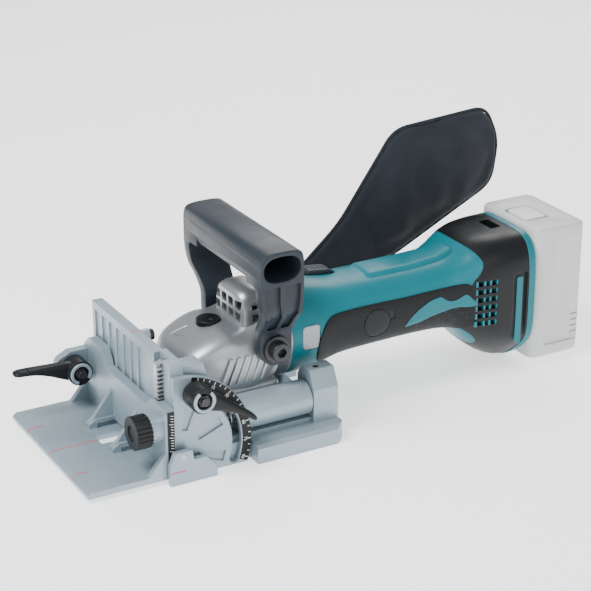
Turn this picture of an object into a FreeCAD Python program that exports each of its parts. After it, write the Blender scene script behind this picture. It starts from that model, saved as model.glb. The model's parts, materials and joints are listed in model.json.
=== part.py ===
# Cordless plate joiner, built as an assembly of separate parts.
# Frame: Z up from the base's underside, X across with 0 on the plane of symmetry,
# Y from the fence (front) to the battery (rear). Millimetres.
import FreeCAD, Part
import math
import os
import re
from types import SimpleNamespace

Vector = FreeCAD.Vector
doc = FreeCAD.newDocument("plate_joiner")

SIZES = [
    ("base_half_width", 75.0, "half width of the base flange"),
    ("base_front", 2.0, "front face of the base"),
    ("base_rear", 134.0, "rear face of the base"),
    ("flange_front", 62.0, "where the wide flange starts"),
    ("waist_half_width", 62.0, "half width of the base ahead of the flange"),
    ("flange_height", 14.0, "top of the flange"),
    ("deck_height", 17.0, "top of the raised deck"),
    ("cover_height", 5.0, "depth of the recess for the bottom cover"),
    ("chamber_height", 13.0, "roof of the blade chamber"),
    ("chamber_half_width", 51.5, "half width of the blade chamber"),
    ("chamber_rear", 110.0, "rear of the blade chamber"),
    ("foot_inside", 71.0, "inner face of the hinge feet"),
    ("foot_height", 24.5, "top of the hinge feet"),
    ("rod_offset", 50.0, "guide rod from the centre plane"),
    ("rod_height", 30.5, "guide rod axis above the ground"),
    ("rod_radius", 4.5, "guide rod"),
    ("sleeve_radius", 12.8, "outside of the sliding sleeves"),
    ("sleeve_front", 57.0, "front of the sleeves at rest"),
    ("sleeve_rear", 113.0, "rear of the sleeves at rest"),
    ("spring_room", 8.0, "radius of the spring's hole in a sleeve"),
    ("ear_front", 13.0, "front face of the upright ears"),
    ("ear_rear", 34.0, "rear face of the upright ears"),
    ("ear_inside", 45.0, "inner face of the upright ears"),
    ("ear_outside", 60.0, "outer face of the upright ears"),
    ("ear_height", 80.0, "top of the tall right ear"),
    ("tower_front", 114.0, "front face of the rear towers"),
    ("tower_height", 52.0, "top of the rear towers"),
    ("pivot_y", 4.5, "fence hinge, front to back"),
    ("pivot_height", 20.0, "fence hinge above the ground"),
    ("pin_radius", 2.0, "hinge pins"),
    ("running_gap", 0.06, "radial clearance of turning and sliding fits"),
    ("quadrant_radius", 56.5, "outer edge of the angle scale"),
    ("slot_radius", 45.3, "middle of the scale's slot"),
    ("quadrant_inside", 63.0, "inner face of the angle scale"),
    ("quadrant_outside", 67.0, "outer face of the angle scale"),
    ("lock_y", 16.6, "fence lock bolt, front to back"),
    ("lock_height", 63.8, "fence lock bolt above the ground"),
    ("fence_face", 1.1, "front face of the fence"),
    ("fence_rear", 9.0, "rear of the fence's top rail"),
    ("fence_top", 85.4, "top of the fence"),
    ("fence_bottom", 26.0, "bottom of the fence plate"),
    ("fence_half_width", 67.0, "half width of the fence"),
    ("groove_left", 38.4, "left side of the slider groove"),
    ("groove_right", 53.0, "right side of the slider groove"),
    ("guide_half_width", 69.5, "half width of the angle guide"),
    ("guide_front", -64.6, "front edge of the angle guide"),
    ("guide_face", -6.0, "front face of the guide's upright plate"),
    ("guide_back", 1.0, "rear face of the guide's upright plate"),
    ("guide_under", 3.5, "underside of the guide's shelf"),
    ("guide_shelf", 8.0, "top of the guide's shelf"),
    ("guide_top", 55.5, "top of the guide's upright plate"),
    ("gusset_offset", 21.0, "guide ribs from the centre plane"),
    ("knob_x", 57.0, "height knob axis across"),
    ("knob_height", 38.0, "height knob axis above the ground"),
    ("pinion_pitch", 5.0, "pitch radius of the height pinion"),
    ("pinion_teeth", 10, "teeth on the height pinion"),
    ("clamp_y", -18.0, "guide clamp lever axis, front to back"),
    ("clamp_height", 38.0, "guide clamp lever axis above the ground"),
    ("stop_x", -24.0, "depth stop's dial and screw across"),
    ("stop_y", 122.0, "depth stop's dial, front to back"),
    ("blade_radius", 50.0, "blade outside radius"),
    ("blade_bore", 11.0, "blade bore radius"),
    ("blade_height", 10.0, "middle of the blade above the ground"),
    ("blade_thickness", 4.0, "blade thickness at the teeth"),
    ("spindle_y", 53.5, "spindle axis at rest"),
    ("plunge_travel", 21.5, "full stroke of the motor unit"),
    ("motor_height", 65.0, "motor axis above the ground"),
    ("gearcase_half_width", 38.0, "half width of the gear housing"),
    ("gearcase_top", 81.0, "top of the gear housing"),
    ("gearcase_rear", 101.0, "rear of the gear housing"),
    ("motor_front", 112.0, "front of the motor housing"),
    ("barrel_rear", 147.0, "rear of the round part of the motor housing"),
    ("barrel_radius", 35.0, "round part of the motor housing"),
    ("grip_rear", 259.0, "rear end of the slim grip"),
    ("grip_half_width", 31.0, "half width of the slim grip"),
    ("grip_top", 95.0, "top of the slim grip"),
    ("grip_bottom", 40.0, "bottom of the slim grip"),
    ("tail_rear", 320.0, "rear face of the rear housing"),
    ("tail_half_width", 40.0, "half width of the rear housing"),
    ("tail_top", 110.0, "top of the rear housing"),
    ("handle_outside", 60.0, "outer faces of the handle legs"),
    ("handle_bottom", 123.0, "underside of the handle grip"),
    ("handle_top", 149.3, "top of the handle grip"),
    ("handle_front", 73.0, "front of the handle grip"),
    ("handle_rear", 107.0, "rear of the handle grip"),
    ("boss_y", 92.0, "handle bolts, front to back"),
    ("boss_height", 71.0, "handle bolts above the ground"),
    ("battery_half_width", 37.5, "half width of the battery"),
    ("battery_front", 322.0, "front of the battery"),
    ("battery_rear", 370.0, "rear of the battery"),
    ("battery_bottom", 5.6, "underside of the battery"),
    ("battery_top", 113.0, "top of the battery"),
    ("port_y", 144.0, "dust port, front to back"),
    ("port_height", 22.0, "dust port above the ground"),
]

sheet = doc.addObject("Spreadsheet::Sheet", "dims")
for row, (alias, value, meaning) in enumerate(SIZES, start=1):
    sheet.set("A%d" % row, meaning)
    sheet.set("B%d" % row, str(value))
    sheet.setAlias("B%d" % row, alias)
doc.recompute()
S = SimpleNamespace(**{alias: float(sheet.get(alias)) for alias, value, meaning in SIZES})
ALIASES = {alias for alias, value, meaning in SIZES}
NODES = []
COVER_SCREW_X = 54.5
COVER_SCREW_Y = (24.0, 100.0)


# ---------------------------------------------------------------- helpers

def bound(text):
    """Write a size, or a sum of sizes, as an expression on the sheet's cells."""
    def cell(word):
        name = word.group(0)
        return "dims." + name if name in ALIASES else name
    return re.sub(r"[a-z]+(?:_[a-z]+)+", cell, str(text))


def turned_to(axis):
    """The rotation that lays a primitive's own Z along the named axis."""
    if axis == "X":
        return FreeCAD.Rotation(Vector(0, 1, 0), 90)
    if axis == "Y":
        return FreeCAD.Rotation(Vector(1, 0, 0), -90)
    return FreeCAD.Rotation()


def place(item, corner, axis="Z"):
    """Place a primitive at a corner or centre written in sheet sizes."""
    item.Placement = FreeCAD.Placement(Vector(0, 0, 0), turned_to(axis))
    for letter, text in zip("xyz", corner):
        item.setExpression("Placement.Base." + letter, bound(text))
    return item


def rod(name, axis, start, length, radius):
    """A cylinder along an axis from its start point."""
    item = doc.addObject("Part::Cylinder", name)
    item.setExpression("Radius", bound(radius))
    item.setExpression("Height", bound(length))
    return place(item, start, axis)


def cone(name, axis, start, length, radius_start, radius_end):
    """A cone frustum along an axis."""
    item = doc.addObject("Part::Cone", name)
    item.setExpression("Radius1", bound(radius_start))
    item.setExpression("Radius2", bound(radius_end))
    item.setExpression("Height", bound(length))
    return place(item, start, axis)


def box(name, corner, lengths):
    """A block from its low corner."""
    item = doc.addObject("Part::Box", name)
    for side, text in zip(("Length", "Width", "Height"), lengths):
        item.setExpression(side, bound(text))
    return place(item, corner)


def fuse(name, *items):
    item = doc.addObject("Part::MultiFuse", name)
    item.Shapes = list(items)
    return item


def cut(name, base, *tools):
    item = doc.addObject("Part::Cut", name)
    item.Base = base
    item.Tool = tools[0] if len(tools) == 1 else fuse(name + "_tools", *tools)
    return item


def ring(name, axis, start, length, outer, inner):
    """A plain ring or bush."""
    return cut(name, rod(name + "_outer", axis, start, length, outer),
               rod(name + "_inner", axis, start, length, inner))


def mirrored(name, item):
    """The same item on the other side of the plane of symmetry."""
    copy = doc.addObject("Part::Mirroring", name)
    copy.Source = item
    copy.Normal = Vector(1, 0, 0)
    return copy


def both_sides(name, item):
    return fuse(name, item, mirrored(name + "_left", item))


def node(item, label):
    """Keep an item as one of the assembly's parts."""
    item.Label = label
    NODES.append(item)
    return item


def outline(points):
    """Closed outline: a pair is a straight run, a four is an arc through a point to its end."""
    here = Vector(*points[0][-2:], 0)
    edges = []
    for point in points[1:] + points[:1]:
        end = Vector(*point[-2:], 0)
        if len(point) == 4:
            edges.append(Part.Arc(here, Vector(*point[:2], 0), end))
        elif (end - here).Length > 1e-6:
            edges.append(Part.LineSegment(here, end))
        here = end
    return edges


def disc(u, v, radius):
    return [Part.Circle(Vector(u, v, 0), Vector(0, 0, 1), radius)]


def rectangle(left, low, right, high, corner=0.0):
    """A rectangle, with round corners when a corner radius is given."""
    if corner == 0:
        return outline([(left, low), (right, low), (right, high), (left, high)])
    turn = corner * (1 - math.sqrt(0.5))
    return outline([
        (left + corner, low), (right - corner, low),
        (right - turn, low + turn, right, low + corner), (right, high - corner),
        (right - turn, high - turn, right - corner, high), (left + corner, high),
        (left + turn, high - turn, left, high - corner), (left, low + corner),
        (left + turn, low + turn, left + corner, low)])


def stadium(u, low, high, radius):
    """A slot with round ends, its long way along the outline's second axis."""
    return outline([(u - radius, low), (u, low - radius, u + radius, low),
                    (u + radius, high), (u, high + radius, u - radius, high)])


def new_body(name):
    return doc.addObject("PartDesign::Body", name)


PLANES = {"X": "YZ_Plane", "Y": "XZ_Plane", "Z": "XY_Plane"}


def extrude(body, name, axis, edges, start, length, cutting=False):
    """Pad or pocket an outline towards the positive end of an axis."""
    sketch = body.newObject("Sketcher::SketchObject", name + "_outline")
    plane = [item for item in body.Origin.OriginFeatures if item.Role == PLANES[axis]][0]
    sketch.AttachmentSupport = (plane, [""])
    sketch.MapMode = "FlatFace"
    sign = "-" if axis == "Y" else ""
    sketch.setExpression("AttachmentOffset.Base.z", bound("%s(%s)" % (sign, start)))
    for edge in edges:
        sketch.addGeometry(edge)
    feature = body.newObject("PartDesign::Pocket" if cutting else "PartDesign::Pad", name)
    feature.Profile = sketch
    feature.setExpression("Length", bound(length))
    feature.Reversed = cutting != (axis == "Y")
    return feature


def block(name, axis, edges, start, length):
    """A body made of one pad."""
    body = new_body(name)
    extrude(body, name + "_pad", axis, edges, start, length)
    return body


def chamfer(body, size, wanted):
    """Bevel the edges of a body's last feature that pass a test."""
    doc.recompute()
    tip = body.Tip
    names = ["Edge%d" % number for number, edge in enumerate(tip.Shape.Edges, start=1)
             if wanted(edge)]
    feature = body.newObject("PartDesign::Chamfer", body.Name + "_bevel")
    feature.Base = (tip, names)
    feature.Size = size
    return feature


def along(edge, axis):
    """True for a straight edge along the named axis."""
    if not isinstance(edge.Curve, Part.Line):
        return False
    return abs(abs(edge.Curve.Direction["XYZ".index(axis)]) - 1) < 1e-6


def at_level(edge, axis, level):
    """True for an edge lying wholly at one level of an axis."""
    number = "XYZ".index(axis)
    return all(abs(vertex.Point[number] - level) < 1e-4 for vertex in edge.Vertexes)


def polar(centre_u, centre_v, radius, degrees):
    turn = math.radians(degrees)
    return (centre_u + radius * math.cos(turn), centre_v + radius * math.sin(turn))


# ---------------------------------------------------------------- base

def base_frame():
    """Cast base: flange, deck, ears, towers, hinge feet, blade chamber and dust duct."""
    body = new_body("base_frame")
    corner = 7.0
    wide = S.base_half_width
    waist = S.waist_half_width
    rear = S.base_rear
    half = [(waist, S.base_front), (waist, S.flange_front), (wide, S.flange_front),
            (wide, rear - corner), (wide - corner, rear)]
    other = [(-x, y) for x, y in reversed(half)]
    extrude(body, "flange", "Z", outline(half + other), 0, "flange_height")
    deck_half = 58.0
    extrude(body, "deck", "Z", rectangle(-deck_half, S.ear_front, deck_half, rear - 2),
            "flange_height", "deck_height - flange_height")
    for side, name in ((1, "right"), (-1, "left")):
        foot = outline([(-5.7, 0), (30, 0), (30, 7), (22, 17), (12.5, 17), (11, S.foot_height),
                        (-2, S.foot_height), (-5.7, 15)])
        start = "foot_inside" if side > 0 else "-base_half_width"
        extrude(body, name + "_foot", "X", foot, start, "base_half_width - foot_inside")
        bridge = rectangle(8, 0, 20, 12)
        start = "waist_half_width - 1" if side > 0 else "-base_half_width + 1"
        extrude(body, name + "_bridge", "X", bridge, start,
                "base_half_width - waist_half_width")
        top = S.ear_height if side > 0 else 46.0
        ear = outline([(S.ear_front, S.flange_height), (S.ear_rear, S.flange_height),
                       (S.ear_rear, top - 22), (S.ear_rear - 6, top), (S.ear_front, top)])
        start = "ear_inside" if side > 0 else "-ear_outside"
        extrude(body, name + "_ear", "X", ear, start, "ear_outside - ear_inside")
        pad = rectangle(S.ear_front, S.flange_height, S.ear_rear, 38)
        start = "ear_inside - 4" if side > 0 else "-ear_inside - 1"
        extrude(body, name + "_ear_pad", "X", pad, start, 5)
        tower = outline([(side * x, z) for x, z in (
            (38, S.flange_height), (S.waist_half_width, S.flange_height),
            (S.waist_half_width, 39), (55, S.tower_height), (44, S.tower_height), (38, 44))])
        extrude(body, name + "_tower", "Y", tower, "tower_front", "base_rear - tower_front")
    extrude(body, "duct", "Z", rectangle(-62, rear - 1, -38, rear + 22), 0, 40)

    extrude(body, "cover_recess", "Z", rectangle(-58, 8, 58, 120), 0, "cover_height", True)
    extrude(body, "chamber", "Z",
            rectangle(-S.chamber_half_width, 0, S.chamber_half_width, S.chamber_rear),
            "cover_height", "chamber_height - cover_height", True)
    slot_low = S.spindle_y - S.plunge_travel
    extrude(body, "spindle_slot", "Z", stadium(0, slot_low, S.spindle_y, 19.5),
            "chamber_height - 1", "deck_height - chamber_height + 2", True)
    extrude(body, "chip_channel", "Z", rectangle(-56, S.chamber_rear - 2, -42, rear + 16),
            "cover_height", "chamber_height - cover_height", True)
    extrude(body, "duct_room", "Z", rectangle(-58, rear + 3, -42, rear + 18),
            "cover_height", 30, True)
    extrude(body, "dust_port", "X", disc(S.port_y, S.port_height, 11.0), "-waist_half_width", 6,
            True)
    for side, name in ((1, "right"), (-1, "left")):
        across = side * S.rod_offset
        extrude(body, name + "_rod_front", "Y", disc(across, S.rod_height, S.rod_radius),
                "ear_front + 7", "ear_rear - ear_front", True)
        extrude(body, name + "_rod_rear", "Y", disc(across, S.rod_height, S.rod_radius),
                "tower_front", 12, True)
        extrude(body, name + "_screw_hole", "Z", disc(across, S.tower_front + 8, 2.4),
                "rod_height", "tower_height - rod_height", True)
        start = "foot_inside" if side > 0 else "-base_half_width"
        extrude(body, name + "_pin_hole", "X", disc(S.pivot_y, S.pivot_height, S.pin_radius),
                start, "base_half_width - foot_inside", True)
        for number, y in enumerate(COVER_SCREW_Y):
            extrude(body, "%s_cover_hole_%d" % (name, number), "Z", disc(side * COVER_SCREW_X, y, 2.0),
                    "cover_height", 7, True)
    extrude(body, "lock_bolt_hole", "X", disc(S.lock_y, S.lock_height, 3.0), "ear_inside + 3",
            "ear_outside - ear_inside", True)
    extrude(body, "dial_hole", "Z", disc(S.stop_x, S.stop_y, 3.0), "flange_height - 6", 12, True)
    chamfer(body, 2.5, lambda edge: at_level(edge, "Z", S.flange_height) and (
        (along(edge, "Y") and abs(abs(edge.Vertexes[0].X) - S.base_half_width) < 0.01)))
    return node(body, "base_frame")


def blade_cover():
    """Plate that closes the blade chamber from below, with holes for its screws."""
    body = new_body("blade_cover")
    extrude(body, "cover_plate", "Z", rectangle(-57.9, 8.1, 57.9, 119.9), 0.2, "cover_height - 0.2")
    for number, (x, y) in enumerate(cover_screw_places()):
        extrude(body, "cover_hole_%d" % number, "Z", disc(x, y, 2.0), 0, "cover_height", True)
        extrude(body, "cover_sink_%d" % number, "Z", disc(x, y, 3.0), 0, 2.5, True)
    return node(body, "blade_cover")


def cover_screw_places():
    return [(side * COVER_SCREW_X, y) for side in (1, -1) for y in COVER_SCREW_Y]


def screw(name, axis, start, head_radius, head_length, radius, length, sense=1):
    """Socket head screw: head from the start point, shank beyond it along the axis."""
    number = "XYZ".index(axis)
    shank_start = list(start)
    head_start = list(start)
    if sense > 0:
        shank_start[number] = "%s + %s" % (start[number], head_length)
        socket_start = list(start)
    else:
        head_start[number] = "%s - %s" % (start[number], head_length)
        shank_start[number] = "%s - %s - %s" % (start[number], head_length, length)
        socket_start = list(start)
        socket_start[number] = "%s - %s" % (start[number], head_length * 0.6)
    head = rod(name + "_head", axis, head_start, head_length, head_radius)
    shank = rod(name + "_shank", axis, shank_start, length, radius)
    socket = doc.addObject("Part::Prism", name + "_socket")
    socket.Polygon = 6
    socket.Circumradius = head_radius * 0.55
    socket.Height = head_length * 0.6
    place(socket, socket_start, axis)
    return cut(name, fuse(name + "_solid", head, shank), socket)


def small_hardware():
    """Screws and pins of the base."""
    screws = [screw("cover_screw_%d" % number, "Z", (x, y, 0.3), 2.8, 2.1, 2.0, 9.0)
              for number, (x, y) in enumerate(cover_screw_places())]
    node(fuse("cover_screws_all", *screws), "cover_screws")
    setter = screw("tower_screw", "Z", ("rod_offset", "tower_front + 8", "tower_height - 0.2"),
                   2.4, 8, 2.4, 6.5, -1)
    node(both_sides("tower_screws_all", setter), "tower_set_screws")
    pin = rod("pin", "X", ("quadrant_inside - 0.2", "pivot_y", "pivot_height"),
              "base_half_width - quadrant_inside + 0.2", "pin_radius")
    node(both_sides("pins_all", pin), "hinge_pins")
    guide_rod = rod("guide_rod", "Y", ("rod_offset", "ear_front + 7", "rod_height"),
                    "tower_front + 12 - ear_front - 7", "rod_radius")
    node(both_sides("rods_all", guide_rod), "guide_rods")


def return_springs():
    """Coil springs round the guide rods, drawn at their fully pressed length."""
    wire = 0.9
    coil = 6.4
    low = S.ear_rear + wire + 0.2
    length = S.sleeve_rear - 8 - S.plunge_travel - low - wire - 0.5
    coils = 9
    helix = Part.makeHelix(length / coils, length, coil)
    section = Part.Wire(Part.makeCircle(wire, Vector(coil, 0, 0), Vector(0, 1, 0)))
    spring = Part.Wire(helix).makePipeShell([section], True, True)
    spring.Placement = FreeCAD.Placement(Vector(0, 0, 0), turned_to("Y"))
    pair = []
    for side in (1, -1):
        one = spring.copy()
        one.translate(Vector(side * S.rod_offset, low, S.rod_height))
        pair.append(one)
    item = doc.addObject("Part::Feature", "springs_all")
    item.Shape = Part.makeCompound(pair)
    return node(item, "return_springs")


# ---------------------------------------------------------------- depth stop

def depth_stopper():
    """Six step dial: each flat stands at its own distance from the dial's axis."""
    body = new_body("depth_stopper")
    steps = 6
    lowest = 7.0
    rise = 1.1
    extrude(body, "dial_plate", "Z", disc(S.stop_x, S.stop_y, 10.0), "deck_height + 0.2", 2.5)
    for number in range(steps):
        reach = lowest + rise * number
        turn = math.radians(90 + 60 * number)
        across = Vector(math.cos(turn + math.pi / 2), math.sin(turn + math.pi / 2))
        out = Vector(math.cos(turn), math.sin(turn))
        width = 3.2
        centre = Vector(S.stop_x, S.stop_y)
        points = [centre - across * width, centre - across * width + out * reach,
                  centre + across * width + out * reach, centre + across * width]
        extrude(body, "step_%d" % number, "Z", outline([(p.x, p.y) for p in points]),
                "deck_height + 2.7", 7)
    extrude(body, "dial_hub", "Z", disc(S.stop_x, S.stop_y, 6.0), "deck_height + 2.7", 7)
    extrude(body, "dial_stem", "Z", disc(S.stop_x, S.stop_y, 3.0 - S.running_gap),
            "flange_height - 5", 9)
    return node(body, "depth_stopper")


def depth_screw():
    """Fine setting screw that meets the dial at the end of the stroke."""
    stem = rod("depth_stem", "Y", ("stop_x", 152, "deck_height + 6"), 22, 2.5)
    knob = rod("depth_knob", "Y", ("stop_x", 166, "deck_height + 6"), 7, 5.5)
    nut = rod("depth_nut", "Y", ("stop_x", 154.2, "deck_height + 6"), 2.5, 4.5)
    return node(fuse("depth_screw_all", stem, knob, nut), "depth_adjusting_screw")


# ---------------------------------------------------------------- fence and angle scale

def fence():
    """Ribbed front plate with top rail, slider groove, right post and left hinge cheek."""
    body = new_body("fence")
    left = -S.fence_half_width
    right = S.quadrant_inside
    low = S.fence_bottom
    arch = 40.0
    arch_top = 36.0
    face = outline([(left, low), (-arch, low), (-arch + 8, arch_top), (arch - 8, arch_top),
                    (arch, low), (right, low), (right, S.fence_top), (left, S.fence_top)])
    extrude(body, "plate", "Y", face, "fence_face", 4)
    extrude(body, "top_rail", "Y", rectangle(left, 77, right, S.fence_top), "fence_face",
            "fence_rear - fence_face")
    extrude(body, "groove_back", "Y", rectangle(36, low, right, S.fence_top),
            "fence_face", 11.4 - S.fence_face)
    extrude(body, "left_cheek", "X",
            outline([(S.pivot_y - 3, S.pivot_height - 4), (S.pivot_y, S.pivot_height - 5),
                     (S.pivot_y + 5, S.pivot_height), (11, 40), (9, S.fence_top),
                     (S.fence_face, S.fence_top), (S.fence_face, 20)]),
            "-fence_half_width", "fence_half_width - quadrant_inside")
    extrude(body, "groove", "Z", rectangle(S.groove_left, 0, S.groove_right, 6.1),
            "fence_bottom - 1", "fence_top - fence_bottom + 2", True)
    extrude(body, "left_pin_hole", "X",
            disc(S.pivot_y, S.pivot_height, S.pin_radius + S.running_gap), "-fence_half_width",
            "fence_half_width - quadrant_inside", True)
    channels = 7
    channel_pitch = 12.4
    channel_width = 8.6
    for number in range(channels):
        start = left + 4.5 + number * channel_pitch
        extrude(body, "channel_%d" % number, "Y",
                rectangle(start, low - 1, start + channel_width, S.fence_top - 6), 0,
                "fence_face + 1.3", True)
    extrude(body, "boss", "Y", disc(0, 80.6, 4.8), "fence_rear - 0.5", 6.3)
    extrude(body, "boss_hole", "Y", disc(0, 80.6, 2.0), "fence_rear - 2", 9, True)
    return node(body, "fence")


def angle_scale():
    """Quadrant plate: curved slot for the lock bolt, stop recesses and hinge ear."""
    body = new_body("angle_scale")
    y = S.pivot_y
    z = S.pivot_height
    outer = S.quadrant_radius
    top = polar(y, z, outer, 84.0)
    middle = polar(y, z, outer, 32.0)
    low = polar(y, z, outer, -20.3)
    plate = outline([(S.fence_face + 0.4, z - 1), (y - 1, z - 4), (20, 17), (30, 0.8), (52, 0.4),
                     low, middle + top, (S.fence_face + 0.4, 77)])
    extrude(body, "quadrant", "X", plate, "quadrant_inside",
            "quadrant_outside - quadrant_inside")
    half = 3.4
    start = 76.5
    stop = -19.0
    inner = S.slot_radius - half
    outer_slot = S.slot_radius + half
    slot = outline([
        polar(y, z, inner, stop), polar(y, z, inner, 30) + polar(y, z, inner, start),
        polar(y, z, S.slot_radius, start + 4) + polar(y, z, outer_slot, start),
        polar(y, z, outer_slot, 30) + polar(y, z, outer_slot, stop),
        polar(y, z, S.slot_radius, stop - 4) + polar(y, z, inner, stop)])
    extrude(body, "lock_slot", "X", slot, "quadrant_inside",
            "quadrant_outside - quadrant_inside", True)
    extrude(body, "pin_hole", "X", disc(y, z, S.pin_radius + S.running_gap), "quadrant_inside",
            "quadrant_outside - quadrant_inside", True)
    for number, angle in enumerate((73.0, 28.0, -17.0)):
        recess = outline([polar(y, z, 17, angle - 7), polar(y, z, 37, angle - 6.5),
                          polar(y, z, 37, angle + 6.5), polar(y, z, 17, angle + 7)])
        extrude(body, "recess_%d" % number, "X", recess, "quadrant_outside - 1.5", 3, True)
    chamfer(body, 0.8, lambda edge: at_level(edge, "X", S.quadrant_outside)
            and edge.Length > 60)
    return node(body, "angle_scale")


def fence_trim():
    """Height scale strip and the sight screw behind the fence's top."""
    strip = box("scale_strip", ("guide_half_width", "guide_back - 5.6", 12), (0.5, 5, 42))
    node(strip, "height_scale")
    shank = rod("sight_shank", "Y", (0, "fence_rear - 2", 80.6), 9, 1.98)
    head = rod("sight_head", "Y", (0, "fence_rear + 6", 80.6), 3.2, 4.0)
    node(fuse("sight_screw", shank, head), "sight_screw")


def fence_lock():
    """Bolt in the right ear, washer, clamping lever and the ring on its end."""
    bolt = rod("lock_shank", "X", ("ear_inside + 3", "lock_y", "lock_height"), 38.4, 2.98)
    node(bolt, "fence_lock_bolt")
    washer = ring("lock_washer", "X", ("quadrant_outside + 0.15", "lock_y", "lock_height"), 2.2,
                  8.0, "3.0")
    node(washer, "lock_washer")
    lever("fence_lever", S.lock_y, S.lock_height, S.quadrant_outside + 2.6, -32.0, 1,
          "fence_lock_lever", "fence_lever_ring")


def lever(name, y, z, start, degrees, side, label, ring_label):
    """Clamping lever on an axis along X: hub, tapering arm with ribs, and a bright end ring."""
    hub_length = 14.0
    body = new_body(name)
    low = start if side > 0 else start - hub_length
    extrude(body, name + "_hub", "X", disc(y, z, 9.0), low, hub_length)
    turn = math.radians(degrees)
    out = Vector(math.cos(turn), math.sin(turn))
    up = Vector(-out.y, out.x)
    centre = Vector(y, z)
    reach = 46.0
    root = 7.0
    tip = 4.5
    points = [centre + up * root, centre - up * root, centre + out * reach * 0.45 - up * tip,
              centre + out * reach - up * tip]
    end = centre + out * (reach + tip)
    last = [centre + out * reach + up * tip, centre + out * reach * 0.45 + up * tip]
    path = [(p.x, p.y) for p in points]
    path.append((end.x, end.y, last[0].x, last[0].y))
    path.append((last[1].x, last[1].y))
    arm_low = low + 4.0 if side > 0 else low + 1.5
    extrude(body, name + "_arm", "X", outline(path), arm_low, 8.5)
    extrude(body, name + "_bore", "X", disc(y, z, 3.0 + S.running_gap), low, hub_length, True)
    for number in range(5):
        along_arm = reach - 1.5 - number * 4.2
        groove = [centre + out * along_arm + up * (tip + 1), centre + out * (along_arm - 1.6)
                  + up * (tip + 1), centre + out * (along_arm - 1.6) + up * (tip - 0.9),
                  centre + out * along_arm + up * (tip - 0.9)]
        extrude(body, "%s_rib_%d" % (name, number), "X", outline([(p.x, p.y) for p in groove]),
                arm_low - 1, 11, True)
    node(body, label)
    ring_start = start + hub_length if side > 0 else start - hub_length - 1.6
    node(ring(name + "_ring", "X", (ring_start, y, z), 1.6, 7.2, 3.4), ring_label)


# ---------------------------------------------------------------- angle guide and its slider

def height_rack():
    """Toothed bar in the fence's groove that the height pinion climbs."""
    body = new_body("height_rack")
    low = 34.0
    high = 82.0
    gap = S.running_gap
    extrude(body, "rack_foot", "Z", rectangle(S.groove_left + 5, 1.9, S.groove_right - gap, 6.1 - gap),
            low, high - low)
    pitch = 2 * math.pi * S.pinion_pitch / S.pinion_teeth
    line = S.knob_x - S.pinion_pitch
    extrude(body, "rack_bar", "Z", rectangle(S.groove_left + 7, -3.0, line - 1.4, 2.0), low,
            high - low)
    first = S.knob_height
    count = int((high - 1.5 - first) / pitch) + 1
    below = int((first - low - 1.5) / pitch)
    for number in range(-below, count):
        middle = first + number * pitch
        tooth = outline([(line - 1.5, middle - pitch * 0.36), (line + 0.9, middle - pitch * 0.13),
                         (line + 0.9, middle + pitch * 0.13), (line - 1.5, middle + pitch * 0.36)])
        extrude(body, "rack_tooth_%d" % (number + below), "Y", tooth, -3.0, 3.9)
    return node(body, "height_rack")


def clamp_nut():
    """Sliding nut beside the rack that the guide's clamp draws against the fence."""
    body = new_body("clamp_nut")
    gap = S.running_gap
    extrude(body, "nut_foot", "Z", rectangle(S.groove_left + gap, 1.9, S.groove_left + 4.9, 6.1 - gap),
            34, 30)
    return node(body, "clamp_nut")


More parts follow.
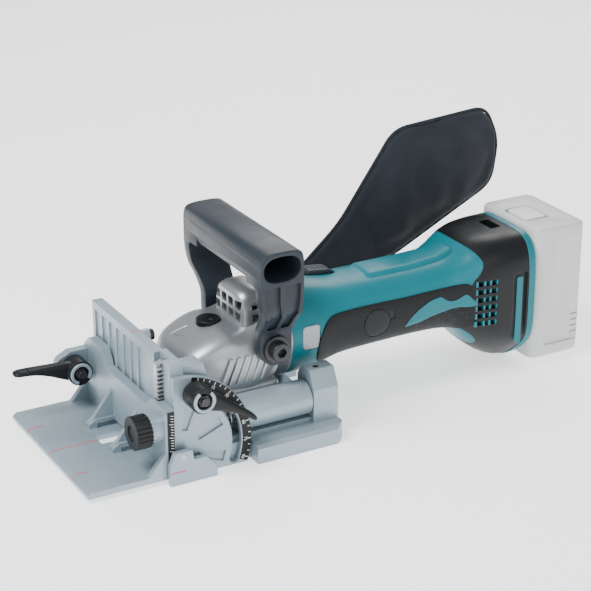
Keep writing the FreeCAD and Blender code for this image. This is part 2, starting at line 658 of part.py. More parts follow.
def angle_guide():
    """Angle plate: shelf with chamfered front, upright plate, ribs, window and clamp ear."""
    body = new_body("angle_guide")
    wide = S.guide_half_width
    under = S.guide_under
    shelf = outline([(S.guide_front, under), (S.guide_back, under), (S.guide_back, S.guide_shelf),
                     (S.guide_front + 3, S.guide_shelf), (S.guide_front, S.guide_shelf - 2.2)])
    extrude(body, "shelf", "X", shelf, "-guide_half_width", "2 * guide_half_width")
    top = S.guide_top
    upright = outline([(-wide, under), (wide, under), (wide, top - 3), (wide - 3, top),
                       (46, top), (38, top - 8), (-30, top - 8), (-38, top + 4),
                       (-60, top + 4), (-wide, top - 4)])
    extrude(body, "upright", "Y", upright, "guide_face", "guide_back - guide_face")
    lower = S.guide_shelf - 0.5
    rib_reach = -26.0
    for side, name in ((1, "right"), (-1, "left")):
        rib = outline([(S.guide_face + 0.5, lower), (rib_reach, lower), (rib_reach, 12),
                       (rib_reach + 5, 16), (S.guide_face + 0.5, 36)])
        extrude(body, name + "_rib", "X", rib,
                "gusset_offset - 1.6" if side > 0 else "-gusset_offset - 1.6", 3.2)
        thick = outline([(S.guide_face + 0.5, lower), (rib_reach, lower), (rib_reach, 11.5),
                         (rib_reach + 5, 14.5), (S.guide_face + 0.5, 14.5)])
        extrude(body, name + "_rib_foot", "X", thick,
                "gusset_offset - 3.5" if side > 0 else "-gusset_offset - 3.5", 7)
        end = outline([(S.guide_face + 0.5, lower), (S.guide_face - 14, lower), (S.guide_face + 0.5, 24)])
        extrude(body, name + "_end_web", "X", end,
                "guide_half_width - 4.5" if side > 0 else "-guide_half_width", 4.5)
    ear = outline([(S.guide_face + 0.5, 24), (-16, 26), (-28, 34), (-31, 40, -28, 46), (-20, 50),
                   (S.guide_face + 0.5, 50)])
    extrude(body, "clamp_ear", "X", ear, "-guide_half_width", 7)

    extrude(body, "knob_boss", "Y", disc(S.knob_x, S.knob_height, 9.6), "guide_face - 8.2", 9)
    relief = outline([(-4.5, 3), (S.guide_back + 1, 3), (S.guide_back + 1, 17), (S.guide_back, 17)])
    extrude(body, "tilt_relief", "X", relief, "-63.5", 127, True)
    extrude(body, "window", "Z", rectangle(-7, -27, 7, S.guide_face + 0.01), 0, 10, True)
    extrude(body, "blade_slot", "Z", rectangle(-43.5, -19.6, 43.5, S.guide_back + 1),
            "guide_shelf - 0.35", 4.8, True)
    extrude(body, "rack_channel", "Z",
            rectangle(S.groove_left + 6.6, -3.4, S.knob_x - S.pinion_pitch + 1.2, S.guide_back + 1),
            0, 70, True)
    extrude(body, "pinion_room", "Y", disc(S.knob_x, S.knob_height, S.pinion_pitch + 1.5),
            -3.3, 6, True)
    extrude(body, "knob_hole", "Y", disc(S.knob_x, S.knob_height, 3.0 + S.running_gap),
            "guide_face - 9", 14, True)
    extrude(body, "clamp_hole", "X", disc(S.clamp_y, S.clamp_height, 3.0),
            "-guide_half_width", 7, True)
    return node(body, "angle_guide")


def pinion_points():
    """Teeth of the small gear on the knob's spindle, a gap facing the rack."""
    pitch_turn = 360.0 / S.pinion_teeth
    root = S.pinion_pitch - 1.5
    tip = S.pinion_pitch + 0.9
    points = []
    for number in range(int(S.pinion_teeth)):
        middle = 180.0 + pitch_turn * (number + 0.5)
        for radius, share in ((root, -0.34), (tip, -0.1), (tip, 0.1), (root, 0.34)):
            points.append(polar(S.knob_x, S.knob_height, radius, middle + pitch_turn * share))
    return points


def height_knob():
    """Knurled knob, collar and spindle with the pinion that climbs the rack."""
    body = new_body("height_knob")
    teeth = 24
    outer = 12.0
    points = []
    for number in range(teeth):
        step = 360.0 / teeth
        points.append(polar(S.knob_x, S.knob_height, outer, step * number))
        points.append(polar(S.knob_x, S.knob_height, outer - 0.9, step * (number + 0.5)))
    extrude(body, "knurled_head", "Y", outline(points), -26, 11.6)
    extrude(body, "knob_spindle", "Y", disc(S.knob_x, S.knob_height, 3.0), -15, 12.1)
    extrude(body, "face_recess", "Y", disc(S.knob_x, S.knob_height, 6.0), -26, 1.2, True)
    extrude(body, "pinion", "Y", outline(pinion_points()), -2.9, 3.6)
    return node(body, "height_knob")


def guide_lock():
    """Bolt, lever and ring of the clamp at the guide's left ear."""
    bolt = rod("clamp_shank", "X", ("-guide_half_width", "clamp_y", "clamp_height"), 25, 2.98)
    node(bolt, "guide_lock_bolt")
    lever("guide_lever", S.clamp_y, S.clamp_height, -S.guide_half_width + 7.3, 172.0, 1,
          "guide_lock_lever", "guide_lever_ring")


# ---------------------------------------------------------------- blade drive

def blade():
    """Six tooth grooving blade with carbide tips."""
    body = new_body("blade")
    teeth = 6
    step = 360.0 / teeth
    root = S.blade_radius - 9
    points = []
    for number in range(teeth):
        start = step * number
        points.append(polar(0, S.spindle_y, root, start))
        points.append(polar(0, S.spindle_y, S.blade_radius, start + 1.0))
        points.append(polar(0, S.spindle_y, S.blade_radius - 0.8, start + 8.0))
        points.append(polar(0, S.spindle_y, root + 3, start + 16.0))
        points.append(polar(0, S.spindle_y, root + 1.0, start + 44.0))
        points.append(polar(0, S.spindle_y, root - 5.0, start + 52.0))
    extrude(body, "blade_plate", "Z", outline(points), "blade_height - 1.3", 2.6)
    for number in range(teeth):
        start = step * number
        tip = outline([
            polar(0, S.spindle_y, root, start), polar(0, S.spindle_y, S.blade_radius, start + 1.0),
            polar(0, S.spindle_y, S.blade_radius - 0.3, start + 4.0),
            polar(0, S.spindle_y, root + 1, start + 4.5)])
        extrude(body, "tip_%d" % number, "Z", tip, "blade_height - blade_thickness / 2",
                "blade_thickness")
    extrude(body, "bore", "Z", disc(0, S.spindle_y, S.blade_bore), 0, 20, True)
    return node(body, "blade")


def drive():
    """Spindle, flanges, bevel gears and bearings."""
    here = (0, "spindle_y")
    spindle = fuse(
        "spindle_all",
        rod("spindle_low", "Z", here + (5.9,), 48.1, 5.0),
        rod("spindle_top", "Z", here + (53.5,), 22, 4.0))
    node(spindle, "spindle")
    inner = cut("inner_flange_all",
                fuse("flange_solid", rod("flange_disc", "Z", here + ("blade_height + 1.3",), 4.2, 16.0),
                     rod("flange_boss", "Z", here + ("blade_height - 1.2",), 3, "blade_bore")),
                rod("flange_hole", "Z", here + (0,), 30, 5.0))
    node(inner, "inner_flange")
    nut = cut("lock_nut_all", rod("nut_disc", "Z", here + (6.2,), 2.4, 15.0),
              rod("nut_hole", "Z", here + (0,), 30, 5.0),
              rod("nut_key_a", "Z", (10, "spindle_y", 5), 2.5, 2.0),
              rod("nut_key_b", "Z", (-10, "spindle_y", 5), 2.5, 2.0))
    node(nut, "lock_nut")
    gear_radius = 16.0
    ratio = 3.0
    gap = 0.3
    inner_radius = 9.0
    rim_height = S.motor_height - gear_radius / ratio - gap
    big = cut("bevel_gear_all",
              fuse("bevel_solid",
                   rod("bevel_back", "Z", here + (54,), rim_height - 54, gear_radius),
                   cone("bevel_cone", "Z", here + (rim_height,),
                        (gear_radius - inner_radius) / ratio, gear_radius, inner_radius)),
              rod("bevel_hole", "Z", here + (45,), 20, 4.0),
              *[place_turned(box("bevel_gap_%d" % number, (0, 0, 0), (10, 0.9, 12)),
                             (0, "spindle_y", rim_height - 1.6), 12.0 * number + 6, 9.5)
                for number in range(30)])
    node(big, "bevel_gear")
    start = 9.6
    small = cut("bevel_pinion_all",
                cone("pinion_cone", "Y", (0, "spindle_y + %s" % start, "motor_height"),
                     gear_radius - start, start / ratio, gear_radius / ratio),
                rod("pinion_bore", "Y", (0, "spindle_y", "motor_height"), 30, 2.0))
    node(small, "bevel_pinion")
    lower = ring("low_bearing", "Z", here + (24,), 9, 13.0, 5.0)
    upper = ring("top_bearing", "Z", here + (70.4,), 5, 8.0, 4.0)
    node(fuse("spindle_bearings_all", lower, upper), "spindle_bearings")


def place_turned(item, centre, degrees, out):
    """Turn a block about a vertical line and move it out along its own length."""
    turn = FreeCAD.Rotation(Vector(0, 0, 1), degrees)
    item.Placement.Rotation = turn
    shift = turn.multVec(Vector(out, -0.5, 0))
    for letter, text, move in zip("xyz", centre, shift):
        item.setExpression("Placement.Base." + letter, bound("%s + %.6f" % (text, move)))
    return item


# ---------------------------------------------------------------- gear housing

def gear_housing():
    """Cast gear case: nose, deck flange, side bosses for the handle and both sleeves."""
    body = new_body("gear_housing")
    half = S.gearcase_half_width
    top = S.gearcase_top
    side_view = outline([(36, 22), (S.gearcase_rear, 22), (S.gearcase_rear, top), (48, top),
                         (33, 70), (30, 62), (30, 40), (34, 24)])
    extrude(body, "case", "X", side_view, "-30", 60)
    chamfer(body, 4.0, lambda edge: abs(abs(edge.Vertexes[0].X) - 30) < 0.01
            and all(vertex.Z > 60 for vertex in edge.Vertexes) and edge.Length > 5
            and not along(edge, "X") and not along(edge, "Z"))
    skirt = outline([(38, 22), (S.gearcase_rear, 22), (S.gearcase_rear, 70), (50, 70), (38, 56)])
    extrude(body, "skirt", "X", skirt, "-gearcase_half_width", "2 * gearcase_half_width")
    extrude(body, "neck", "Z", disc(0, S.spindle_y, 18.5), "deck_height + 0.4", 8)
    for side, name in ((1, "right"), (-1, "left")):
        across = side * S.rod_offset
        extrude(body, name + "_sleeve", "Y", disc(across, S.rod_height, S.sleeve_radius),
                "sleeve_front", "sleeve_rear - sleeve_front")
        web = rectangle(min(side * 30, across), 22, max(side * 30, across), 39)
        extrude(body, name + "_web", "Y", web, "sleeve_front + 4", S.gearcase_rear - 61)
        extrude(body, name + "_boss", "X", disc(S.boss_y, S.boss_height, 9.0),
                "gearcase_half_width - 12" if side > 0 else "-gearcase_half_width", 12)
    room = outline([(36, 40), (S.gearcase_rear - 4, 40), (S.gearcase_rear - 4, 76), (50, 76),
                    (42, 70), (36, 62)])
    extrude(body, "room", "X", room, "-28", 56, True)
    extrude(body, "bearing_holder", "Z", disc(0, S.spindle_y, 11.0), 70.4, 6.1)
    extrude(body, "bearing_hole", "Z", disc(0, S.spindle_y, 8.0), 70, 5.6, True)
    extrude(body, "room_rear", "Y", disc(0, S.motor_height, 12.0), "gearcase_rear - 5", 6, True)
    extrude(body, "low_bearing_seat", "Z", disc(0, S.spindle_y, 13.0), "24", 17, True)
    extrude(body, "neck_hole", "Z", disc(0, S.spindle_y, 6.0), "deck_height", 30, True)
    for side, name in ((1, "right"), (-1, "left")):
        across = side * S.rod_offset
        extrude(body, name + "_sleeve_bore", "Y",
                disc(across, S.rod_height, S.rod_radius + S.running_gap), "sleeve_front",
                "sleeve_rear - sleeve_front", True)
        extrude(body, name + "_spring_room", "Y", disc(across, S.rod_height, S.spring_room),
                "sleeve_front", "sleeve_rear - sleeve_front - 8", True)
        extrude(body, name + "_handle_hole", "X", disc(S.boss_y, S.boss_height, 3.5),
                "gearcase_half_width - 10" if side > 0 else "-gearcase_half_width", 10, True)
    extrude(body, "lock_hole", "Z", disc(0, 62, 9.3), 76.3, 10, True)
    return node(body, "gear_housing")


def vent_cover():
    """Hooded air outlet on the gear case, with square openings in two rows."""
    body = new_body("vent_cover")
    top = 107.0
    side_view = outline([(76, S.gearcase_top), (101, S.gearcase_top), (101, top - 3), (97, top),
                         (84, top), (76, 97)])
    extrude(body, "hood", "X", side_view, "-20", 45)
    extrude(body, "hood_room", "X", rectangle(80, S.gearcase_top + 2, 98, 98), "-18", 41, True)
    for row in range(2):
        for column in range(4):
            left = -15 + column * 9.6
            extrude(body, "opening_%d_%d" % (row, column), "Y",
                    rectangle(left, 84 + row * 7, left + 6.5, 89 + row * 7), 70, 11, True)
    for row in range(2):
        for column in range(2):
            low = 82 + column * 8
            extrude(body, "side_opening_%d_%d" % (row, column), "X",
                    rectangle(low, 84 + row * 7, low + 5.5, 89 + row * 7), 22, 4, True)
    return node(body, "vent_cover")


def shaft_lock():
    """Push button that stops the spindle while the blade is changed."""
    cap = rod("lock_cap", "Z", (0, 62, 79.2), 5.8, 9.0)
    stem = rod("lock_stem", "Z", (0, 62, 78.7), 1, 4.0)
    dimple = rod("lock_dimple", "Z", (0, 62, 84.2), 1, 4.5)
    return node(cut("shaft_lock_all", fuse("lock_solid", cap, stem), dimple), "shaft_lock")


def bearing_box():
    """Ring between gear case and motor housing that holds the armature's front bearing."""
    body = new_body("bearing_box")
    extrude(body, "box_ring", "Y", disc(0, S.motor_height, S.barrel_radius), "gearcase_rear",
            "motor_front - gearcase_rear")
    extrude(body, "box_hole", "Y", disc(0, S.motor_height, 11.0), "gearcase_rear",
            "motor_front - gearcase_rear", True)
    for number in range(4):
        x, z = polar(0, S.motor_height, 29.5, 45 + 90 * number)
        extrude(body, "box_screw_%d" % number, "Y", disc(x, z, 2.0), "gearcase_rear",
                "motor_front - gearcase_rear", True)
    return node(body, "bearing_box")


# ---------------------------------------------------------------- motor

def motor():
    """Armature, commutator, fan, magnets, brushes and bearings."""
    axis_point = lambda y: (0, y, "motor_height")
    shaft = fuse("shaft", rod("shaft_main", "Y", axis_point("spindle_y + 16.2"), 140, 3.5),
                 rod("shaft_nose", "Y", axis_point("spindle_y + 10"), 10, 2.0))
    core = rod("core", "Y", axis_point(149), 25, 13.0)
    commutator = rod("commutator", "Y", axis_point(178), 15, 9.0)
    node(fuse("armature_all", shaft, core, commutator), "armature")
    fan = new_body("fan")
    extrude(fan, "fan_disc", "Y", disc(0, S.motor_height, 27.0), 126, 2)
    extrude(fan, "fan_hub", "Y", disc(0, S.motor_height, 7.0), 126, 14)
    for number in range(12):
        turn = 30.0 * number
        edges = outline([polar(0, S.motor_height, 6.5, turn - 4), polar(0, S.motor_height, 26, turn + 18),
                         polar(0, S.motor_height, 26, turn + 21), polar(0, S.motor_height, 6.5, turn + 6)])
        extrude(fan, "fan_vane_%d" % number, "Y", edges, 127.5, 11)
    extrude(fan, "fan_bore", "Y", disc(0, S.motor_height, 3.5), 120, 30, True)
    node(fan, "fan")
    node(ring("stator_all", "Y", axis_point(148.5), 26, 20.0, 14.0), "stator")
    front = ring("front_bearing", "Y", axis_point("gearcase_rear + 1"), 9, 11.0, 3.5)
    back = ring("rear_bearing", "Y", axis_point(198), 7, 8.0, 3.5)
    node(fuse("armature_bearings_all", front, back), "armature_bearings")
    brush = box("brush", (9.4, 182, "motor_height - 3"), (9, 6, 6))
    node(both_sides("brushes_all", brush), "carbon_brushes")
    holder = cut("holder_tube", box("holder_block", (12, 179.5, "motor_height - 5.5"), (12, 11, 11)),
                 box("holder_hole", (10, 182, "motor_height - 3"), (20, 6, 6)))
    node(both_sides("holders_all", holder), "brush_holders")
    cap = screw("brush_cap", "X", ("grip_half_width + 4.2", 185, "motor_height"), 11.5, 2.6, 6.0, 5.5,
                -1)
    node(both_sides("caps_all", cap), "brush_caps")


def motor_housing():
    """Barrel and slim grip of the motor housing, hollow, with the depth screw's bracket."""
    body = new_body("motor_housing")
    wall = 3.0
    height = S.motor_height
    extrude(body, "barrel", "Y", disc(0, height, S.barrel_radius), "motor_front",
            "barrel_rear - motor_front")
    grip = rectangle(-S.grip_half_width, S.grip_bottom, S.grip_half_width, S.grip_top, 15)
    extrude(body, "grip", "Y", grip, "barrel_rear - 3", "grip_rear - barrel_rear + 3")
    extrude(body, "spine", "Y", rectangle(-16, S.grip_top - 3, 16, S.grip_top + 1), "barrel_rear - 3",
            "grip_rear - barrel_rear + 3")
    extrude(body, "bracket", "Y", rectangle(S.stop_x - 6, 18, S.stop_x + 6, height, 3), 156.9, 8)
    extrude(body, "barrel_room", "Y", disc(0, height, S.barrel_radius - wall), "motor_front",
            "barrel_rear - motor_front", True)
    room = rectangle(-S.grip_half_width + wall, S.grip_bottom + wall, S.grip_half_width - wall,
                     S.grip_top - wall, 12)
    extrude(body, "grip_room", "Y", room, "barrel_rear - 4", "grip_rear - barrel_rear + 6", True)
    extrude(body, "switch_slot", "Z", rectangle(-14, 153, -6, 186), "grip_top - 6", 10, True)
    extrude(body, "depth_hole", "Y", disc(S.stop_x, S.deck_height + 6, 2.5), 150, 20, True)
    for side, name in ((1, "right"), (-1, "left")):
        extrude(body, name + "_cap_hole", "X", disc(185, height, 6.0),
                "grip_half_width - 5" if side > 0 else "-grip_half_width - 1", 6, True)
    extrude(body, "window_hole", "X", rectangle(121, 58, 135, 76, 3), "24", 12, True)
    return node(body, "motor_housing")


def soft_grip():
    """Rubbery side panels of the grip."""
    side = outline([(150, 48), (156, 44), (256, 46), (256, 82), (230, 88), (205, 84), (180, 82),
                    (156, 80), (150, 72)])
    panel = new_body("grip_panel")
    extrude(panel, "panel_pad", "X", side, "grip_half_width", 3.2)
    extrude(panel, "panel_hole", "X", disc(185, S.motor_height, 11.8), "grip_half_width - 1", 6, True)
    extrude(panel, "panel_dimple", "X", stadium(236, 56, 62, 2), "grip_half_width + 1.5", 6, True)
    return node(both_sides("soft_grip_all", panel), "soft_grip")


def side_window():
    """Small window in the barrel's right side."""
    pane = block("pane", "X", rectangle(121.1, 58.1, 134.9, 75.9, 2.9), 30.5, 3.5)
    return node(pane, "side_window")


def rear_housing():
    """Hollow rear housing that flares to the battery seat, with side vents."""
    body = new_body("rear_housing")
    rear = S.tail_rear
    half = S.tail_half_width
    side_view = outline([(S.grip_rear, 39), (268, 36), (276, 18), (296, 14), (302, 0), (rear, 0),
                         (rear, S.tail_top), (290, S.tail_top), (276, 107), (268, 96),
                         (S.grip_rear, 95)])
    extrude(body, "shell", "X", side_view, "-tail_half_width", "2 * tail_half_width")
    for side, name in ((1, "right"), (-1, "left")):
        flare = outline([(side * (half + 2), 240), (side * (half + 2), 284),
                         (side * (S.grip_half_width + 2), S.grip_rear - 1),
                         (side * (S.grip_half_width + 2), 240)])
        extrude(body, name + "_flare", "Z", flare, -1, 130, True)
        corner = outline([(side * (half + 2), -1), (side * (half + 2), 22), (side * half, 22),
                          (side * 20, 0), (side * 20, -1)])
        extrude(body, name + "_corner", "Y", corner, 250, 80, True)
    room = outline([(S.grip_rear - 1, 44), (272, 40), (281, 22), (rear - 15, 20), (rear - 15, 104),
                    (290, 104), (278, 100), (270, 92.5), (S.grip_rear - 1, 92.5)])
    extrude(body, "room", "X", room, "-tail_half_width + 8", "2 * tail_half_width - 16", True)
    for row in range(6):
        low = 45 + row * 6.3
        for column in range(2):
            start = 268 + column * 10.5
            for side, name in ((1, "right"), (-1, "left")):
                extrude(body, "%s_vent_%d_%d" % (name, row, column), "X",
                        rectangle(start, low, start + 8, low + 2.6),
                        "tail_half_width - 9" if side > 0 else "-tail_half_width - 1", 10, True)
    extrude(body, "latch_hole", "Z", rectangle(-8, 302, 8, 309), "tail_top - 8", 10, True)
    extrude(body, "terminal_slot", "Y", rectangle(-22, 40, 22, 96), "tail_rear - 16", 18, True)
    return node(body, "rear_housing")


def terminal_parts():
    """Bright rim round the battery seat and the terminal block behind it."""
    rim = new_body("seat_rim")
    extrude(rim, "rim_plate", "Y", rectangle(-40, 24, 40, 83, 6), "tail_rear", 1.6)
    extrude(rim, "rim_hole", "Y", rectangle(-23, 34, 23, 130), "tail_rear - 1", 5, True)
    node(rim, "seat_rim")
    block_body = new_body("terminal_block")
    extrude(block_body, "terminal_base", "Y", rectangle(-21.9, 60, 21.9, 92), "tail_rear - 14", 10)
    for side, name in ((1, "right"), (-1, "left")):
        extrude(block_body, name + "_blade", "Y", rectangle(side * 12 - 0.8, 70, side * 12 + 0.8, 88),
                "tail_rear - 5", 4.6)
    node(block_body, "terminal_block")


def switch_parts():
    """Slide button, its link rod and the switch in the rear housing."""
    body = new_body("slide_button")
    extrude(body, "button_plate", "Z", rectangle(-15.5, 155, -4.5, 191, 3), "grip_top + 1.1", 2)
    extrude(body, "button_stem", "Z", rectangle(-13.9, 160, -6.1, 184), "grip_top - 4", 6)
    for number in range(5):
        start = 160 + number * 6
        extrude(body, "button_ridge_%d" % number, "Z", rectangle(-14, start, -6, start + 2.6),
                "grip_top + 2.9", 1.2)
    node(body, "slide_switch")
    link = box("link", (-12, 172, "grip_top - 6.5"), (4, 96, 2.4))
    node(link, "switch_link")
    unit = box("unit", (-14, 275, 60), (28, 18, 24))
    node(unit, "switch_unit")


# ---------------------------------------------------------------- handle

def d_handle():
    """D shaped front handle: hollow grip, two legs that step in to round bosses."""
    body = new_body("d_handle")
    wide = S.handle_outside
    grip = rectangle(S.handle_front, S.handle_bottom, S.handle_rear, S.handle_top, 11)
    extrude(body, "grip_bar", "X", grip, "-handle_outside", "2 * handle_outside")
    for side, name in ((1, "right"), (-1, "left")):
        leg = outline([(S.handle_front, 135), (S.handle_front, 112), (79, 96), (80, S.boss_height),
                       (S.boss_y, S.boss_height - 13, 104, S.boss_height), (105, 96),
                       (S.handle_rear, 112), (S.handle_rear, 135)])
        low = "38.4" if side > 0 else "-handle_outside"
        extrude(body, name + "_leg", "X", leg, low, "handle_outside - 38.4")
    for side, name in ((1, "right"), (-1, "left")):
        inner = outline([(side * 30, S.handle_bottom), (side * (wide - 8), S.handle_bottom),
                         (side * (wide - 8), 101), (side * 38.4, 84), (side * 30, 84)])
        extrude(body, name + "_inside", "Y", inner, "handle_front - 5", 50, True)
        outer = outline([(side * (wide + 5), 50), (side * 47, 50), (side * 47, 82),
                         (side * wide, 99.5), (side * (wide + 5), 99.5)])
        extrude(body, name + "_step", "Y", outer, "handle_front - 5", 50, True)
        extrude(body, name + "_bolt_hole", "X", disc(S.boss_y, S.boss_height, 3.5 + S.running_gap),
                "38" if side > 0 else "-50", 12, True)
    extrude(body, "grip_hollow", "X", rectangle(76, 127.5, 104, 145, 8), "-handle_outside - 1",
            "2 * handle_outside + 2", True)
    return node(body, "d_handle")


def handle_fixings():
    """Bolts and washers of the handle."""
    bolt = screw("handle_bolt", "X", (55.5, "boss_y", "boss_height"), 7.0, 6.5, 3.5, 20.5, -1)
    node(both_sides("handle_bolts_all", bolt), "handle_bolts")
    washer = ring("handle_washer", "X", (47.1, "boss_y", "boss_height"), 1.8, 9.0, 3.5)
    node(both_sides("handle_washers_all", washer), "handle_washers")
    screws = []
    for number in range(4):
        x, z = polar(0, S.motor_height, 29.5, 45 + 90 * number)
        screws.append(rod("housing_screw_%d" % number, "Y", (x, "gearcase_rear", z), 10.8, 2.0))
    node(fuse("housing_screws_all", *screws), "housing_screws")


# ---------------------------------------------------------------- dust bag, battery

BAG_MIDDLE = -72.0
NECK_ANGLE = 42.0
NECK_LENGTH = 40.0


def neck_cylinder(name, radius, length):
    """A cylinder along the nozzle's neck, which rises towards the rear."""
    item = doc.addObject("Part::Cylinder", name)
    item.Radius = radius
    item.Height = length
    turn = math.radians(NECK_ANGLE)
    direction = FreeCAD.Rotation(Vector(0, 0, 1), Vector(0, math.cos(turn), math.sin(turn)))
    item.Placement = FreeCAD.Placement(Vector(BAG_MIDDLE - 2, S.port_y, S.port_height), direction)
    return item


def dust_nozzle():
    """Elbow that turns in the base's dust port and carries the bag."""
    spigot = rod("spigot", "X", ("-waist_half_width - 8", "port_y", "port_height"), 13.6,
                 11.0 - S.running_gap)
    collar = rod("nozzle_collar", "X", ("-waist_half_width - 24", "port_y", "port_height"), 23.6, 12.2)
    passage = rod("nozzle_passage", "X", ("-waist_half_width - 18", "port_y", "port_height"), 30, 8.5)
    solid = fuse("nozzle_solid", spigot, collar, neck_cylinder("neck_outside", 11.3, NECK_LENGTH))
    return node(cut("nozzle_all", solid, neck_cylinder("neck_inside", 9.0, NECK_LENGTH + 5), passage),
                "dust_nozzle")


def dust_bag():
    """Plain closed stand in for the fabric bag, pushed over the nozzle's neck."""
    body = new_body("bag_body")
    side = outline([(160, 58), (178, 44), (262, 68), (356, 116), (360, 150), (347, 178),
                    (262, 172), (214, 104)])
    extrude(body, "bag_side", "X", side, BAG_MIDDLE - 13, 26)
    return node(cut("bag_all", body, neck_cylinder("neck_room", 11.4, NECK_LENGTH + 1)), "dust_bag")


def battery():
    """Battery pack with side rails, and its release button."""
    body = new_body("battery_pack")
    wide = S.battery_half_width
    case = rectangle(-wide, S.battery_front, wide, S.battery_rear, 7)
    extrude(body, "case_pad", "Z", case, "battery_bottom", "battery_top - battery_bottom")
    extrude(body, "button_hole", "Z", rectangle(-13, 330, 13, 350, 4), "battery_top - 9", 12, True)
    extrude(body, "contact_room", "Y", rectangle(-16, 60, 16, 100), "battery_front - 1", 8, True)
    chamfer(body, 2.5, lambda edge: at_level(edge, "Z", S.battery_top)
            and max(abs(v.X) for v in edge.Vertexes) > 25)
    node(body, "battery_pack")
    button = block("battery_push", "Z", rectangle(-12.9, 330.1, 12.9, 349.9, 3.9),
                   "battery_top - 4", 4.8)
    node(button, "battery_button")


base_frame()
blade_cover()
small_hardware()
return_springs()
depth_stopper()
depth_screw()
fence()
angle_scale()
fence_trim()
fence_lock()
height_rack()
clamp_nut()
angle_guide()
height_knob()
guide_lock()
blade()
drive()
gear_housing()
vent_cover()
shaft_lock()
bearing_box()
motor()
motor_housing()
soft_grip()
side_window()
rear_housing()
terminal_parts()
switch_parts()
d_handle()
handle_fixings()
dust_nozzle()
dust_bag()
battery()
doc.recompute()

os.makedirs("parts", exist_ok=True)
problems = []
for item in doc.Objects:
    if "Invalid" in item.State or "Error" in item.State:
        problems.append("%s: %s" % (item.Name, item.State))
for item in NODES:
    shape = item.Shape
    if shape.isNull() or not shape.isValid() or shape.Volume < 1e-6:
        problems.append("bad shape: " + item.Label)
if problems:
    raise RuntimeError("\n".join(problems))
for item in NODES:
    item.Shape.exportStep("parts/%s.step" % item.Label)
    print("%-24s %9.0f mm3 %d solid(s)" % (item.Label, item.Shape.Volume, len(item.Shape.Solids)))
print(len(NODES), "parts written")
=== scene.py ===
import bmesh
import bpy
import json
import math
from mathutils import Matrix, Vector


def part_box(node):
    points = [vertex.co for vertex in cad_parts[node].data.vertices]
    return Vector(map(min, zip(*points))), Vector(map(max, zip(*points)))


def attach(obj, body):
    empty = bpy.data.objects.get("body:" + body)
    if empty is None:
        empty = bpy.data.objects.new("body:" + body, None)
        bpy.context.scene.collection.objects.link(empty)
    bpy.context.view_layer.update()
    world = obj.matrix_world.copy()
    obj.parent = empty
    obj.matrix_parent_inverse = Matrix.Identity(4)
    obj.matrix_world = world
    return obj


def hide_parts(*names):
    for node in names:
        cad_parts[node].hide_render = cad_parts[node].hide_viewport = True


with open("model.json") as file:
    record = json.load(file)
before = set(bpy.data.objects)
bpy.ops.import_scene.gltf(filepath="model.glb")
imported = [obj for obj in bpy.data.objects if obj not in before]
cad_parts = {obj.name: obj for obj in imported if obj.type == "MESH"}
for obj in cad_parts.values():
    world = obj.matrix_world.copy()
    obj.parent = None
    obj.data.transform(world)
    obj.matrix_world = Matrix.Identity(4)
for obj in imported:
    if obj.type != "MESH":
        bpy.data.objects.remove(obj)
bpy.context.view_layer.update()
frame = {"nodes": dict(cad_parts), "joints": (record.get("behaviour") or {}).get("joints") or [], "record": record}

# Shapes below are written in millimetres in the CAD frame: X across, Y from fence to battery, Z up.
MM = 0.001


def corners(node):
    """Lowest and highest corner of a CAD node, in millimetres."""
    low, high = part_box(node)
    return low / MM, high / MM


RING_LOW, RING_HIGH = corners("bearing_box")
GUIDE_LOW = corners("angle_guide")[0]
FENCE_LOW, FENCE_HIGH = corners("fence")
SCALE_HIGH = corners("angle_scale")[1]
MOTOR_Z = (RING_LOW.z + RING_HIGH.z) / 2
JOINTS = {joint["name"]: joint for joint in frame["joints"]}
SIDES = ((1, "right"), (-1, "left"))
FAR = 60.0  # distance from the middle plane that is past every side face


# ---------------------------------------------------------------- materials

def colour(red, green, blue):
    """A screen colour in 0-255 as the linear values that nodes take."""
    def linear(value):
        value /= 255.0
        return value / 12.92 if value <= 0.04045 else ((value + 0.055) / 1.055) ** 2.4
    return (linear(red), linear(green), linear(blue), 1.0)


